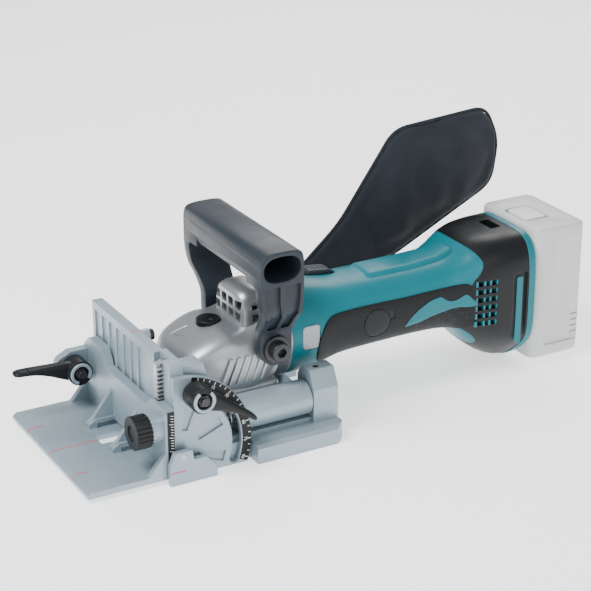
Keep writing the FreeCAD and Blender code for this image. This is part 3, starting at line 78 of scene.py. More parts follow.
def surface(name, base, rough, metal=0.0, grain=900.0, bump=0.05, spread=0.08, edge=0.7,
            edge_light=0.12, weave=False, coat=0.0, shine=0.5):
    """Procedural finish: uneven tint and gloss, fine grain, soft edges and lightly worn corners."""
    material = bpy.data.materials.new(name)
    material.use_nodes = True
    nodes = material.node_tree.nodes
    link = material.node_tree.links.new
    shader = nodes["Principled BSDF"]
    place = nodes.new("ShaderNodeTexCoord").outputs["Object"]

    def noise(scale, detail):
        node = nodes.new("ShaderNodeTexNoise")
        node.inputs["Scale"].default_value = scale
        node.inputs["Detail"].default_value = detail
        link(place, node.inputs["Vector"])
        return node.outputs["Fac"]

    def spread_to(value, low, high):
        node = nodes.new("ShaderNodeMapRange")
        node.inputs["To Min"].default_value = low
        node.inputs["To Max"].default_value = high
        node.inputs["From Min"].default_value = 0.3
        node.inputs["From Max"].default_value = 0.7
        link(value, node.inputs["Value"])
        return node.outputs["Result"]

    def mix(factor, first, second):
        node = nodes.new("ShaderNodeMix")
        node.data_type = "RGBA"
        link(factor, node.inputs["Factor"])
        for socket, value in ((node.inputs[6], first), (node.inputs[7], second)):
            if isinstance(value, tuple):
                socket.default_value = value
            else:
                link(value, socket)
        return node.outputs[2]

    darker = tuple(part * (1 - spread) for part in base[:3]) + (1.0,)
    lighter = tuple(min(1.0, part * (1 + spread)) for part in base[:3]) + (1.0,)
    worn = tuple(part + (1 - part) * edge_light for part in base[:3]) + (1.0,)
    tint = mix(spread_to(noise(35.0, 3.0), 0.0, 1.0), darker, lighter)

    rounding = nodes.new("ShaderNodeBevel")
    rounding.samples = 4
    rounding.inputs["Radius"].default_value = edge * MM
    flat = nodes.new("ShaderNodeNewGeometry").outputs["Normal"]
    turn = nodes.new("ShaderNodeVectorMath")
    turn.operation = "DOT_PRODUCT"
    link(rounding.outputs["Normal"], turn.inputs[0])
    link(flat, turn.inputs[1])
    corner = nodes.new("ShaderNodeMapRange")
    corner.inputs["From Min"].default_value = 0.98
    corner.inputs["From Max"].default_value = 0.75
    link(turn.outputs["Value"], corner.inputs["Value"])
    link(mix(corner.outputs["Result"], tint, worn), shader.inputs["Base Color"])

    height = noise(grain, 2.0)
    if weave:
        threads = []
        for direction in ("Y", "Z"):
            wave = nodes.new("ShaderNodeTexWave")
            wave.bands_direction = direction
            wave.inputs["Scale"].default_value = 420.0
            wave.inputs["Distortion"].default_value = 0.6
            link(place, wave.inputs["Vector"])
            threads.append(wave.outputs["Fac"])
        cross = nodes.new("ShaderNodeMath")
        cross.operation = "MULTIPLY"
        link(threads[0], cross.inputs[0])
        link(threads[1], cross.inputs[1])
        total = nodes.new("ShaderNodeMath")
        link(cross.outputs[0], total.inputs[0])
        link(height, total.inputs[1])
        height = total.outputs[0]
        shader.inputs["Sheen Weight"].default_value = 0.12
        shader.inputs["Sheen Roughness"].default_value = 0.5
    bumps = nodes.new("ShaderNodeBump")
    bumps.inputs["Strength"].default_value = bump
    bumps.inputs["Distance"].default_value = 0.3 * MM
    link(height, bumps.inputs["Height"])
    link(rounding.outputs["Normal"], bumps.inputs["Normal"])
    link(bumps.outputs["Normal"], shader.inputs["Normal"])
    link(spread_to(noise(60.0, 4.0), rough - 0.05, rough + 0.07), shader.inputs["Roughness"])
    shader.inputs["Metallic"].default_value = metal
    shader.inputs["Specular IOR Level"].default_value = shine
    shader.inputs["Coat Weight"].default_value = coat
    shader.inputs["Coat Roughness"].default_value = 0.15
    return material


MATERIALS = {
    "cast_grey": surface("cast_grey", colour(146, 163, 173), 0.36, 0.35, 1400, 0.10, 0.03),
    "gear_silver": surface("gear_silver", colour(160, 165, 169), 0.34, 0.75, 1500, 0.16, 0.04),
    "steel": surface("steel", colour(176, 178, 180), 0.30, 0.95, 1100, 0.05, 0.05, 0.4),
    "bright_steel": surface("bright_steel", colour(215, 217, 219), 0.16, 1.0, 900, 0.02, 0.03, 0.3),
    "black_steel": surface("black_steel", colour(52, 53, 55), 0.34, 0.5, 900, 0.06, 0.08, 0.4),
    "teal_plastic": surface("teal_plastic", colour(0, 108, 120), 0.34, 0.0, 1800, 0.03, 0.04,
                            shine=0.3),
    "black_plastic": surface("black_plastic", colour(22, 24, 27), 0.36, 0.0, 1700, 0.12, 0.08,
                             edge_light=0.04, shine=0.22),
    "grey_plastic": surface("grey_plastic", colour(38, 46, 54), 0.36, 0.0, 1500, 0.14, 0.05,
                            edge_light=0.05, shine=0.25),
    "black_rubber": surface("black_rubber", colour(21, 23, 26), 0.48, 0.0, 1500, 0.22, 0.06,
                            edge_light=0.03, shine=0.2),
    "bag_cloth": surface("bag_cloth", colour(36, 41, 48), 0.85, 0.0, 260, 0.55, 0.10,
                         weave=True, shine=0.2),
    "pale_plastic": surface("pale_plastic", colour(200, 202, 203), 0.42, 0.0, 1500, 0.05, 0.02),
    "copper": surface("copper", colour(184, 115, 72), 0.32, 0.9, 700, 0.08, 0.08, 0.3),
    "window_grey": surface("window_grey", colour(150, 158, 162), 0.18, 0.0, 600, 0.02, 0.05,
                           coat=0.4),
    "white_print": surface("white_print", colour(228, 230, 230), 0.5, 0.0, 900, 0.02, 0.02, 0.1),
    "red_print": surface("red_print", colour(206, 74, 84), 0.5, 0.0, 900, 0.02, 0.04, 0.1),
    # Matte near-black used as painted shade: sheets, discs and blocks set in gaps, dimples and openings where
    # shade falls.
    "painted_shade_dark": surface("painted_shade_dark", colour(22, 23, 25), 0.7, 0.0, 900, 0.05, 0.05, 0.2),
    "white_plastic": surface("white_plastic", colour(222, 224, 224), 0.4, 0.0, 1500, 0.04, 0.01),
}
SLOT_OF = {row["node"]: row["material_slot"] for row in frame["record"]["subparts"]}


# ---------------------------------------------------------------- shape helpers

def apply_modifiers(item):
    """Bake the modifiers into the mesh."""
    graph = bpy.context.evaluated_depsgraph_get()
    mesh = bpy.data.meshes.new_from_object(item.evaluated_get(graph))
    item.modifiers.clear()
    item.data = mesh


def mesh_object(name, points, faces):
    """Mesh piece from points in millimetres."""
    mesh = bpy.data.meshes.new(name)
    mesh.from_pydata([tuple(part * MM for part in point) for point in points], [], faces)
    mesh.update()
    item = bpy.data.objects.new(name, mesh)
    bpy.context.scene.collection.objects.link(item)
    return item


def bevel(item, width, segments=3, angle=32.0):
    """Round the edges that are sharper than an angle."""
    modifier = item.modifiers.new("bevel", "BEVEL")
    modifier.width = width * MM
    modifier.segments = segments
    modifier.limit_method = "ANGLE"
    modifier.angle_limit = math.radians(angle)
    modifier.use_clamp_overlap = True
    apply_modifiers(item)


def boolean(item, tool, operation="DIFFERENCE", keep=False):
    """Cut, add or intersect with a tool piece, which is then removed."""
    modifier = item.modifiers.new("boolean", "BOOLEAN")
    modifier.operation = operation
    modifier.solver = "EXACT"
    modifier.object = tool
    apply_modifiers(item)
    if not keep:
        bpy.data.objects.remove(tool)


def join(first, *others):
    """Put several meshes into the first object."""
    with bpy.context.temp_override(active_object=first, object=first,
                                   selected_editable_objects=[first, *others],
                                   selected_objects=[first, *others]):
        bpy.ops.object.join()
    return first


def settle(item, body, slot, look=None, angle=32.0, replaced=()):
    """Give a finished piece its look and body; the slot names the material only when no look is given."""
    item.data.materials.clear()
    item.data.materials.append(MATERIALS[look or slot])
    item.data.shade_smooth()
    item.data.set_sharp_from_angle(angle=math.radians(angle))
    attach(item, body)
    if replaced:
        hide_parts(*replaced)
    return item


def to_axis(axis, first, second, level):
    """A point of an outline on a plane square to an axis."""
    if axis == "X":
        return (level, first, second)
    if axis == "Y":
        return (first, level, second)
    return (first, second, level)


def prism(name, points, axis, low, high):
    """An outline carried along an axis from low to high."""
    count = len(points)
    vertices = [to_axis(axis, u, v, level) for level in (low, high) for u, v in points]
    faces = [tuple(range(count))[::-1], tuple(range(count, 2 * count))]
    for number in range(count):
        after = (number + 1) % count
        faces.append((number, after, count + after, count + number))
    item = mesh_object(name, vertices, faces)
    face_outwards(item)
    return item


def face_outwards(item):
    """Turn every face to look out of the solid."""
    shape = bmesh.new()
    shape.from_mesh(item.data)
    bmesh.ops.recalc_face_normals(shape, faces=shape.faces)
    shape.to_mesh(item.data)
    shape.free()


def outward(side, near, far=FAR):
    """Stretch between two distances from the middle plane on one side, lowest X first."""
    return sorted((side * near, side * far))


def circle(u, v, radius, count=48, start=0.0, sweep=360.0):
    """Points on a circle, or on an arc of it with both ends."""
    steps = count if sweep == 360.0 else count + 1
    return [(u + radius * math.cos(math.radians(start + sweep * number / count)),
             v + radius * math.sin(math.radians(start + sweep * number / count)))
            for number in range(steps)]


def rounded(points, radius, steps=6):
    """Round every corner of an outline."""
    result = []
    count = len(points)
    for number in range(count):
        here = Vector(points[number])
        before = Vector(points[number - 1])
        after = Vector(points[(number + 1) % count])
        reach_in = min(radius, (before - here).length * 0.49)
        reach_out = min(radius, (after - here).length * 0.49)
        start = here + (before - here).normalized() * reach_in
        end = here + (after - here).normalized() * reach_out
        for step in range(steps + 1):
            t = step / steps
            point = start * (1 - t) ** 2 + here * 2 * t * (1 - t) + end * t ** 2
            result.append((point.x, point.y))
    return result


def rectangle(left, low, right, high, radius=0.0):
    """Outline of a rectangle, with round corners when asked."""
    points = [(left, low), (right, low), (right, high), (left, high)]
    return rounded(points, radius) if radius else points


def cylinder(name, axis, centre, low, high, radius, count=64):
    """Round bar along an axis."""
    return prism(name, circle(centre[0], centre[1], radius, count), axis, low, high)


def tube(name, axis, centre, low, high, outer, inner, count=64):
    """Round bar with a bore."""
    item = cylinder(name, axis, centre, low, high, outer, count)
    boolean(item, cylinder("bore", axis, centre, low - 1, high + 1, inner, count))
    return item


def loft(name, rings):
    """Skin over a row of rings with equal point counts, closed at both ends."""
    count = len(rings[0])
    points = [point for ring in rings for point in ring]
    faces = []
    for row in range(len(rings) - 1):
        for number in range(count):
            after = (number + 1) % count
            faces.append((row * count + number, row * count + after,
                          (row + 1) * count + after, (row + 1) * count + number))
    faces.append(tuple(range(count))[::-1])
    last = (len(rings) - 1) * count
    faces.append(tuple(last + number for number in range(count)))
    item = mesh_object(name, points, faces)
    face_outwards(item)
    return item


def eased(keys, steps):
    """Rows of numbers between key rows, along a smooth curve through the keys."""
    rows = []
    for number in range(len(keys) - 1):
        before = keys[max(number - 1, 0)]
        start, end = keys[number], keys[number + 1]
        after = keys[min(number + 2, len(keys) - 1)]
        for step in range(steps):
            t = step / steps
            rows.append(tuple(
                0.5 * (2 * b + (c - a) * t + (2 * a - 5 * b + 4 * c - d) * t * t
                       + (3 * b - a - 3 * c + d) * t ** 3)
                for a, b, c, d in zip(before, start, end, after)))
    rows.append(tuple(keys[-1]))
    return rows


def soft_ring(power, count):
    """Unit ring of (across, up) places: a circle at power 2, nearer a square at a higher power."""
    ring = []
    for number in range(count):
        turn = 2 * math.pi * number / count
        across, up = math.cos(turn), math.sin(turn)
        reach = (abs(across) ** power + abs(up) ** power) ** (-1 / power)
        ring.append((across * reach, up * reach))
    return ring


def pivot(joint_name):
    """Y and Z of a joint's axis."""
    place = JOINTS[joint_name]["pos_m"]
    return place[1] / MM, place[2] / MM


def on_side(side, points):
    """An outline of X and Z, mirrored when it is for the left side."""
    return [(side * x, z) for x, z in points]


def section(y, low, high, half, power, cut=0.0, grow=0.0, count=96):
    """Ring round the motor axis: a soft square, with its lower corners cut off when asked."""
    middle = (low + high) / 2
    tall = (high - low) / 2
    ring = []
    for number in range(count):
        turn = 2 * math.pi * number / count
        across, up = math.cos(turn), math.sin(turn)
        reach = (abs(across / half) ** power + abs(up / tall) ** power) ** (-1 / power)
        if cut > 0 and up < 0:
            slant = math.atan2(tall * 0.8, half) if half else 0
            facing = math.cos(slant) * abs(across) + math.sin(slant) * -up
            limit = (half * math.cos(slant) + tall * math.sin(slant) - cut) / max(facing, 1e-6)
            reach = (reach ** -12 + limit ** -12) ** (-1 / 12)
        reach += grow
        ring.append((across * reach, y, middle + up * reach))
    return ring


# ---------------------------------------------------------------- motor and rear housing

SHELL_REAR = 282.0
REAR_FRONT = 250.0
VENT_ROWS = [45.5 + row * 6.5 for row in range(6)]
GRIP_KEYS = [  # y, low, high, half width, squareness, lower corner cut
    (112.0, 30.2, 99.8, 34.8, 2.0, 0.0),
    (124.0, 30.2, 99.8, 34.8, 2.05, 0.0),
    (136.0, 31.5, 99.6, 34.4, 2.15, 0.0),
    (148.0, 36.0, 98.2, 32.8, 2.3, 0.0),
    (162.0, 39.5, 96.2, 31.4, 2.5, 0.0),
    (190.0, 41.0, 95.4, 31.0, 2.6, 0.0),
    (225.0, 41.5, 95.2, 31.0, 2.6, 0.0),
    (250.0, 40.5, 96.2, 32.2, 2.7, 0.0),
    (262.0, 36.5, 99.5, 34.6, 3.0, 2.0),
    (274.0, 25.0, 106.0, 37.6, 3.4, 8.0),
    (286.0, 14.0, 109.3, 39.4, 3.9, 14.0),
    (300.0, 5.0, 110.2, 40.0, 4.4, 18.0),
    (312.0, 0.6, 110.2, 40.0, 4.8, 20.0),
    (320.0, 0.2, 109.8, 39.8, 4.8, 20.0),
]


def housing_skin(name, grow=0.0, front=0.0, rear=400.0):
    """Outer form of both housings between two places along Y, grown outwards when asked."""
    return loft(name, [section(*row, grow=grow) for row in eased(GRIP_KEYS, 5)
                       if front <= row[0] <= rear])


def side_overlay(name, points, grow, side):
    """A layer that stands proud of the housing's side inside an outline."""
    layer = housing_skin(name, grow)
    low, high = outward(side, 8.0)
    boolean(layer, prism("outline", points, "X", low, high), "INTERSECT")
    return layer


PANEL = [(134, 46), (133.5, 62), (143, 79.5), (178, 80.2), (212, 79.6), (247, 80.6),
         (268, 82), (268, 43), (259, 42.2), (215, 43.2), (163, 42), (140, 40)]
SWOOSH = [(209.4, 55.7), (214, 62), (221.4, 68), (231, 73), (240.7, 75), (244.6, 71.4), (250, 69.2),
          (255.3, 70.2), (261.7, 74), (271.4, 64), (265, 63), (254, 64), (244.8, 62.8), (233, 60.6),
          (223.5, 57.6)]
BRUSH_Y = 185.0
CAP_RADIUS = 11.6


def dimple_places():
    """Staggered rows of small dimples behind the brush cap, where dark discs of painted shade go."""
    places = []
    for row in range(3):
        for number in range(6 - row):
            places.append((216 + row * 5.0 + number * 9.4, 49.5 + row * 5.2 + number * 0.9))
    return places


def motor_shell():
    """Teal housing with a raised spine, a bed for the switch and rooms for vents and window."""
    shell = housing_skin("motor_shell", rear=SHELL_REAR)
    spine = loft("shell_spine", [
        [(x * wide, y, z) for x, z in ((-15, 88), (-15, top - 2.4), (-11.5, top), (11.5, top),
                                       (15, top - 2.4), (15, 88))]
        for y, top, wide in ((186, 94.5, 1.0), (191, 96.9, 1.0), (225, 97.1, 0.96),
                             (250, 98.3, 0.9), (263, 102.5, 0.8))])
    bevel(spine, 1.4)
    boolean(shell, spine, "UNION")
    bed = prism("switch_bed", rectangle(-17, 138.5, -3, 171, 4), "Z", 94.2, 110)
    boolean(shell, bed)
    for side, _ in SIDES:
        room = prism("vent_room", rectangle(268.8, 42, 289, 84), "X", *outward(side, 28.0))
        boolean(shell, room)
    pocket = prism("window_pocket", rectangle(120.5, 57.5, 135.5, 76.5, 4), "X", 33.2, 50)
    boolean(shell, pocket)
    settle(shell, "motor_unit", "teal_plastic", replaced=("motor_housing",))


def depth_bracket():
    """Lug under the housing that holds the depth adjusting screw."""
    low, high = corners("depth_adjusting_screw")
    across, up = (low.x + high.x) / 2, (low.z + high.z) / 2
    bracket = prism("depth_bracket", rectangle(across - 6, up - 5, across + 6, up + 28, 3), "Y",
                    low.y + 4.9, low.y + 12.9)
    bevel(bracket, 1.0)
    boolean(bracket, cylinder("bracket_hole", "Y", (across, up), low.y, high.y, 2.6, 32))
    settle(bracket, "motor_unit", "black_plastic")


def rear_shell():
    """Black rear housing with a curved front edge, latch slot, vents and side slots."""
    rear = housing_skin("rear_shell", 0.3, front=REAR_FRONT)
    teal_edge = prism("teal_edge", rounded([
        (240, 125), (262, 125), (266, 108), (273, 103), (277, 95), (273.5, 88), (267, 82.2), (261, 60),
        (259, 44), (268, 38.5), (274, 33), (278.5, 26), (276, 14), (250, -5), (200, -5),
        (200, 125)], 4), "X", -FAR, FAR)
    boolean(rear, teal_edge)
    latch = prism("latch", rectangle(-9, 300, 9, 309.5, 1.5), "Z", 101, 130)
    boolean(rear, latch)
    side_slot = rounded([(301, 26), (309, 18), (314, 20), (314, 84), (301, 84)], 3)
    for side, _ in SIDES:
        for low in VENT_ROWS:
            vent = prism("vent", rectangle(269.5, low, 287.5, low + 3.9, 1.8), "X",
                         *outward(side, 31.0))
            boolean(rear, vent)
        boolean(rear, prism("side_slot", side_slot, "X", *outward(side, 38.4)))
    settle(rear, "motor_unit", "black_plastic", replaced=("rear_housing",))


def grip_side(side, name):
    """Rubber panel with the brush cap, dimples and teal inlay on one side of the housing; the dimples, the gap
    round the cap and its notch are dark pieces of painted shade.
    """
    panel = side_overlay(name + "_grip_panel", rounded(PANEL, 9), 0.9, side)
    bevel(panel, 0.5, 2, 50)
    low, high = outward(side, 20.0, 45.0)
    boolean(panel, cylinder("cap_hole", "X", (BRUSH_Y, MOTOR_Z), low, high, CAP_RADIUS))
    tab = rectangle(BRUSH_Y + CAP_RADIUS - 1.5, MOTOR_Z + 0.5, BRUSH_Y + CAP_RADIUS + 4.0,
                    MOTOR_Z + 7.0, 0.8)
    boolean(panel, prism("cap_tab", tab, "X", low, high))
    settle(panel, "motor_unit", "black_rubber", replaced=("soft_grip",) if side > 0 else ())

    cap = side_overlay(name + "_brush_cap", circle(BRUSH_Y, MOTOR_Z, CAP_RADIUS - 0.7), 1.0, side)
    bevel(cap, 0.4, 2, 50)
    settle(cap, "motor_unit", "black_plastic", replaced=("brush_caps",) if side > 0 else ())
    # Dark sheet under the cap, grown less than the cap and panel so only the ring round the cap shows it: painted
    # shade in the gap.
    gap = side_overlay(name + "_cap_gap_shade", circle(BRUSH_Y, MOTOR_Z, CAP_RADIUS + 0.4), 0.3, side)
    settle(gap, "motor_unit", "black_plastic", "painted_shade_dark")
    # The dimples are dark discs standing just proud of the rubber: painted shade where the pits would be.
    low, high = outward(side, 8.0)
    pits = join(*[cylinder("pit", "X", place, low, high, 0.9, 14) for place in dimple_places()])
    dots = housing_skin(name + "_dimple_shade", 0.97)
    boolean(dots, pits, "INTERSECT")
    settle(dots, "motor_unit", "black_rubber", "painted_shade_dark")
    # Dark sheet in the cap's notch: painted shade in the recess.
    notch = side_overlay(name + "_cap_notch_shade", tab, 0.3, side)
    settle(notch, "motor_unit", "black_plastic", "painted_shade_dark")

    inlay = side_overlay(name + "_grip_inlay", rounded(SWOOSH, 2.5), 1.35, side)
    bevel(inlay, 0.4, 2, 50)
    settle(inlay, "motor_unit", "teal_plastic")


def vent_side(side, name):
    """Teal bars in the vents and the teal strip in the slot on one side of the rear housing."""
    bars = []
    for low in VENT_ROWS:
        for y in (270.0, 276.6, 281.4, 287.0):
            bars.append(prism("bar", rectangle(y - 0.9, low - 0.2, y + 0.9, low + 4.1), "X",
                              *outward(side, 31.0, 37.0 + (y - 270) * 0.13)))
    frames = join(*bars)
    frames.name = name + "_vent_frames"
    settle(frames, "motor_unit", "teal_plastic")

    strip = prism(name + "_slot_strip", rounded([(305, 27), (309, 23), (310.4, 26), (310.4, 80),
                                                 (305, 80)], 1.2), "X", *outward(side, 37.0, 39.4))
    settle(strip, "motor_unit", "teal_plastic")


def slide_switch():
    """Low ribbed pad of the slide switch in its bed on the housing's left shoulder."""
    side = rounded([(145.5, 95), (145.5, 99.8), (149, 101.2), (164, 99.4), (168.5, 97.4), (168.5, 95)],
                   1.5)
    pad = prism("slide_switch_pad", side, "X", -15.8, -4.2)
    for number in range(4):
        start = 150.5 + number * 3.4
        boolean(pad, prism("groove", rectangle(start, 100.4 - number * 0.42, start + 1.2, 106), "X",
                           -13.6, -6.4))
    bevel(pad, 0.7, 2, 40)
    settle(pad, "switch", "grey_plastic", replaced=("slide_switch",))


def seat_rim():
    """Teal edge that follows the rear housing's outline at the battery seat."""
    end_size = GRIP_KEYS[-1][1:]
    rim = loft("battery_seat_rim", [
        section(y, *end_size, grow=grow) for y, grow in
        ((315.5, -0.5), (315.5, 0.9), (320.8, 0.9), (321.6, 0.2), (321.6, -3.5))])
    boolean(rim, prism("ground_clip", rectangle(-FAR, -20, FAR, 0.05), "Y", 300, 330))
    settle(rim, "motor_unit", "teal_plastic", replaced=("seat_rim",))


# ---------------------------------------------------------------- gear housing and air outlet

LOCK_PLACE = (0.0, 62.0)
SLEEVE_FRONT = 57.0
SLEEVE_REAR = 113.0
SLEEVE_RADIUS = 12.8
SPRING_ROOM = 8.0
HOOD_Z = 78.0  # level of the hood's widest place, inside the gear case's roof
CASE_KEYS = [  # y, low, high, half width, squareness
    (30.5, 40.0, 60.0, 21.0, 3.4),
    (32.5, 30.0, 66.0, 27.0, 3.8),
    (37.0, 24.0, 71.0, 31.0, 4.2),
    (44.0, 22.0, 75.2, 33.5, 4.2),
    (54.0, 22.0, 79.6, 35.5, 4.0),
    (64.0, 22.0, 82.3, 37.0, 3.6),
    (76.0, 22.0, 82.6, 38.0, 3.2),
    (90.0, 24.0, 90.0, 37.0, 2.5),
    (101.0, 30.2, 98.0, 35.0, 2.1),
]


def gear_case():
    """Cast case with a flat floor, a neck for the blade, slanting fins and two fine grooves."""
    case = loft("gear_case", [section(*row) for row in eased(CASE_KEYS, 5)])
    core = loft("case_core", [section(*row, grow=-0.5) for row in eased(CASE_KEYS, 5)])
    floor = prism("case_floor", rounded([(-38, 38), (38, 38), (38, 101), (-38, 101)], 8), "Z", 22, 42)
    bevel(floor, 3.0)
    boolean(case, floor, "UNION")
    neck = cylinder("case_neck", "Z", (0, corners("spindle")[0].y + 5), 17.4, 30, 18.5)
    boolean(case, neck, "UNION")
    fins = []
    for side, _ in SIDES:
        for number in range(6):
            start = 52 + number * 6.2
            slant = [(start, 46), (start + 2.4, 46), (start + 10.4, 66), (start + 8.0, 66)]
            fins.append(prism("fin", slant, "X", *outward(side, 30.0, 38.6)))
    boolean(case, join(*fins), "UNION")
    for points in ([(-12.0, 38.0), (-11.2, 38.4), (-7.0, 49.0), (-8.0, 49.0)],
                   [(-12.0, 38.0), (-11.6, 37.2), (0.0, 40.6), (-0.4, 41.4)]):
        groove = prism("groove", points, "Z", 60, 90)
        boolean(groove, core, keep=True)
        boolean(case, groove)
    bpy.data.objects.remove(core)
    boolean(case, cylinder("lock_seat", "Z", LOCK_PLACE, 80.6, 90, 9.6))
    settle(case, "motor_unit", "gear_silver", replaced=("gear_housing",), angle=40)


def sliding_sleeves():
    """Sleeves that slide on the guide rods, with room for the springs and a web to the case."""
    low, high = corners("guide_rods")
    rod = (high.z - low.z) / 2
    parts = []
    for side, _ in SIDES:
        centre = (side * (high.x - rod), (low.z + high.z) / 2)
        sleeve = tube("sleeve", "Y", centre, SLEEVE_FRONT, SLEEVE_REAR, SLEEVE_RADIUS, rod + 0.2)
        room = cylinder("spring_room", "Y", centre, SLEEVE_FRONT - 7, SLEEVE_REAR - 8, SPRING_ROOM)
        boolean(sleeve, room)
        bevel(sleeve, 0.8)
        inside, outside = outward(side, 30, 40)
        web = prism("web", rectangle(inside, 22, outside, 38), "Y", 62, 100)
        parts.extend((sleeve, web))
    bearings = join(*parts)
    bearings.name = "sliding_sleeves"
    settle(bearings, "motor_unit", "gear_silver", "cast_grey")


def hood_form(name, keys, inset):
    """Soft square form on the gear case's roof, drawn in by an inset."""
    low, high = corners("vent_cover")
    middle = (low.x + high.x) / 2
    rings = []
    for y, wide, tall in keys:
        half = (high.x - low.x) / 2 * wide - inset
        height = (high.z - HOOD_Z) * tall - inset
        rings.append([(middle + half * across, y, HOOD_Z + height * up)
                      for across, up in soft_ring(4, 64)])
    return loft(name, rings)


def vent_hood():
    """Thin hood with two rows of square openings in front and in its right side, and a dark block of painted shade
    inside it.
    """
    low, high = corners("vent_cover")
    middle = (low.x + high.x) / 2
    half = (high.x - low.x) / 2
    hood = hood_form("vent_hood", [(76.6, 0.80, 0.86), (79.0, 0.95, 0.95), (84.0, 1.0, 1.0),
                                   (95.0, 1.0, 1.0), (100.8, 0.98, 0.93)], 0.0)
    boolean(hood, prism("hood_floor", rectangle(-FAR, 0, FAR, 79.5), "Y", 50, 120))
    boolean(hood, hood_form("hood_room", [(78.8, 0.93, 0.94), (84.0, 1.0, 1.0), (99.0, 1.0, 1.0)], 2.2))
    holes = []
    for row in range(2):
        low_edge = 84.5 + row * 8.6
        for column in range(4):
            left = middle - 19.2 + column * 10.0
            holes.append(prism("hole", rectangle(left, low_edge, left + 7.6, low_edge + 6.5, 1.3),
                               "Y", 60, 80.5))
        for column in range(2):
            start = 84.6 + column * 7.4
            holes.append(prism("hole", rectangle(start, low_edge, start + 5.4, low_edge + 5.4, 1.3),
                               "X", middle + half - 3.2, FAR))
    boolean(hood, join(*holes))
    settle(hood, "motor_unit", "gear_silver", replaced=("vent_cover",), angle=40)
    # Dark block inside the hood, seen through the openings: painted shade in the hood's interior.
    inner_shade = hood_form("vent_inner_shade", [(83.5, 1.0, 1.0), (98.0, 1.0, 1.0)], 5.0)
    settle(inner_shade, "motor_unit", "black_plastic", "painted_shade_dark")


def lock_cap():
    """Round cap of the shaft lock with a small dark screw."""
    cap = cylinder("lock_cap", "Z", LOCK_PLACE, 79.0, 83.6, 9.0)
    bevel(cap, 0.8)
    settle(cap, "lock_button", "black_plastic", replaced=("shaft_lock",))
    place = (LOCK_PLACE[0] + 3.4, LOCK_PLACE[1] + 1.0)
    dot = cylinder("lock_cap_screw", "Z", place, 83.2, 84.1, 1.9, 24)
    bevel(dot, 0.4)
    settle(dot, "lock_button", "black_steel")


# ---------------------------------------------------------------- front handle

BOSS_RADIUS = 12.6


def handle_leg(side, wide, front, rear):
    """Leg that narrows and bends in from the grip to a round boss at the handle's bolt."""
    boss_y, boss_z = pivot("handle_tilt")
    front_face = rounded([(front, 140), (front, 112), (79.5, 94),
                          (boss_y - BOSS_RADIUS, boss_z + 4)], 14)
    lower = circle(boss_y, boss_z, BOSS_RADIUS, 20, 180, 180)
    rear_face = rounded([(boss_y + BOSS_RADIUS, boss_z + 4), (104.5, 94), (rear, 112),
                         (rear, 140)], 14)
    shape = [(front, 140)] + front_face[3:-4] + lower + rear_face[4:-3] + [(rear, 140)]
    leg = prism("leg", shape, "X", *outward(side, 38.4, wide))
    inner = rounded([(30, 123), (wide - 8, 123), (wide - 8, 103), (38.4, 86), (38.4, 60),
                     (30, 60)], 5)
    boolean(leg, prism("inner", on_side(side, inner), "Y", 60, 120))
    outer = rounded([(75, 102), (wide + 0.01, 102), (46.5, 84), (46.5, 40), (75, 40)], 5)
    boolean(leg, prism("outer", on_side(side, outer), "Y", 60, 120))
    return leg


def leg_panels(grip, wide, front, rear):
    """Sink two panels with a rib between them into the outer face of each leg."""
    boss_y, _ = pivot("handle_tilt")
    middle = (front + rear) / 2
    skin = [(wide + 5, 126), (wide - 2.4, 126), (wide - 2.4, 103.2), (44.1, 84.6), (44.1, 80),
            (wide + 5, 80)]
    left = [(front + 2.4, 124), (middle - 1.6, 124), (middle - 1.6, 110), (boss_y - 1.6, 96),
            (boss_y - 1.6, 87), (boss_y - 9.0, 87), (boss_y - 9.4, 96), (front + 3.4, 111)]
    right = [(middle + 1.6, 124), (rear - 2.4, 124), (rear - 3.0, 111), (boss_y + 9.6, 96),
             (boss_y + 9.0, 87), (boss_y + 1.6, 87), (boss_y + 1.6, 96), (middle + 1.6, 110)]
    for side, _ in SIDES:
        for panel in (left, right):
            cutter = prism("panel", rounded(panel, 1.8), "X", *outward(side, 30, 70))
            boolean(cutter, prism("skin", on_side(side, skin), "Y", 50, 130), "INTERSECT")
            boolean(grip, cutter)


def front_handle():
    """Hollow grip across the tool on two panelled legs."""
    low, high = corners("d_handle")
    wide, top = high.x, high.z
    front, rear = low.y, high.y
    side_view = rounded([(front, 123), (rear, 123), (rear, top - 3), (rear - 6, top),
                         (front + 6, top), (front, top - 3)], 9)
    grip = prism("front_handle", side_view, "X", -wide, wide)
    for side, _ in SIDES:
        boolean(grip, handle_leg(side, wide, front, rear), "UNION")
    boolean(grip, prism("inside", rectangle(-wide + 8, 104, wide - 8, 123, 5), "Y", 60, 120))
    middle = (front + rear) / 2
    half = (rear - front) / 2 - 2.4
    hollow = [(middle + half * across, top - 12.9 + 9.6 * up) for across, up in soft_ring(2.5, 40)]
    boolean(grip, prism("hollow", hollow, "X", -wide - 5, wide + 5))
    bevel(grip, 0.9, 2, 40)
    leg_panels(grip, wide, front, rear)
    settle(grip, "handle", "grey_plastic", replaced=("d_handle",), angle=38)


def handle_bolts():
    """Washer and socket head of the bolt on each side of the handle."""
    centre = pivot("handle_tilt")
    for side, name in SIDES:
        washer = cylinder(name + "_handle_washer", "X", centre, *outward(side, 46.6, 48.9), 10.2)
        bevel(washer, 0.6)
        head = cylinder("head", "X", centre, *outward(side, 48.9, 55.5), 7.2)
        bevel(head, 0.9)
        boolean(head, cylinder("socket", "X", centre, *outward(side, 51.5), 3.9, 6))
        both = join(washer, head)
        settle(both, "motor_unit", "black_steel",
               replaced=("handle_bolts", "handle_washers") if side > 0 else ())


# ---------------------------------------------------------------- clamp levers

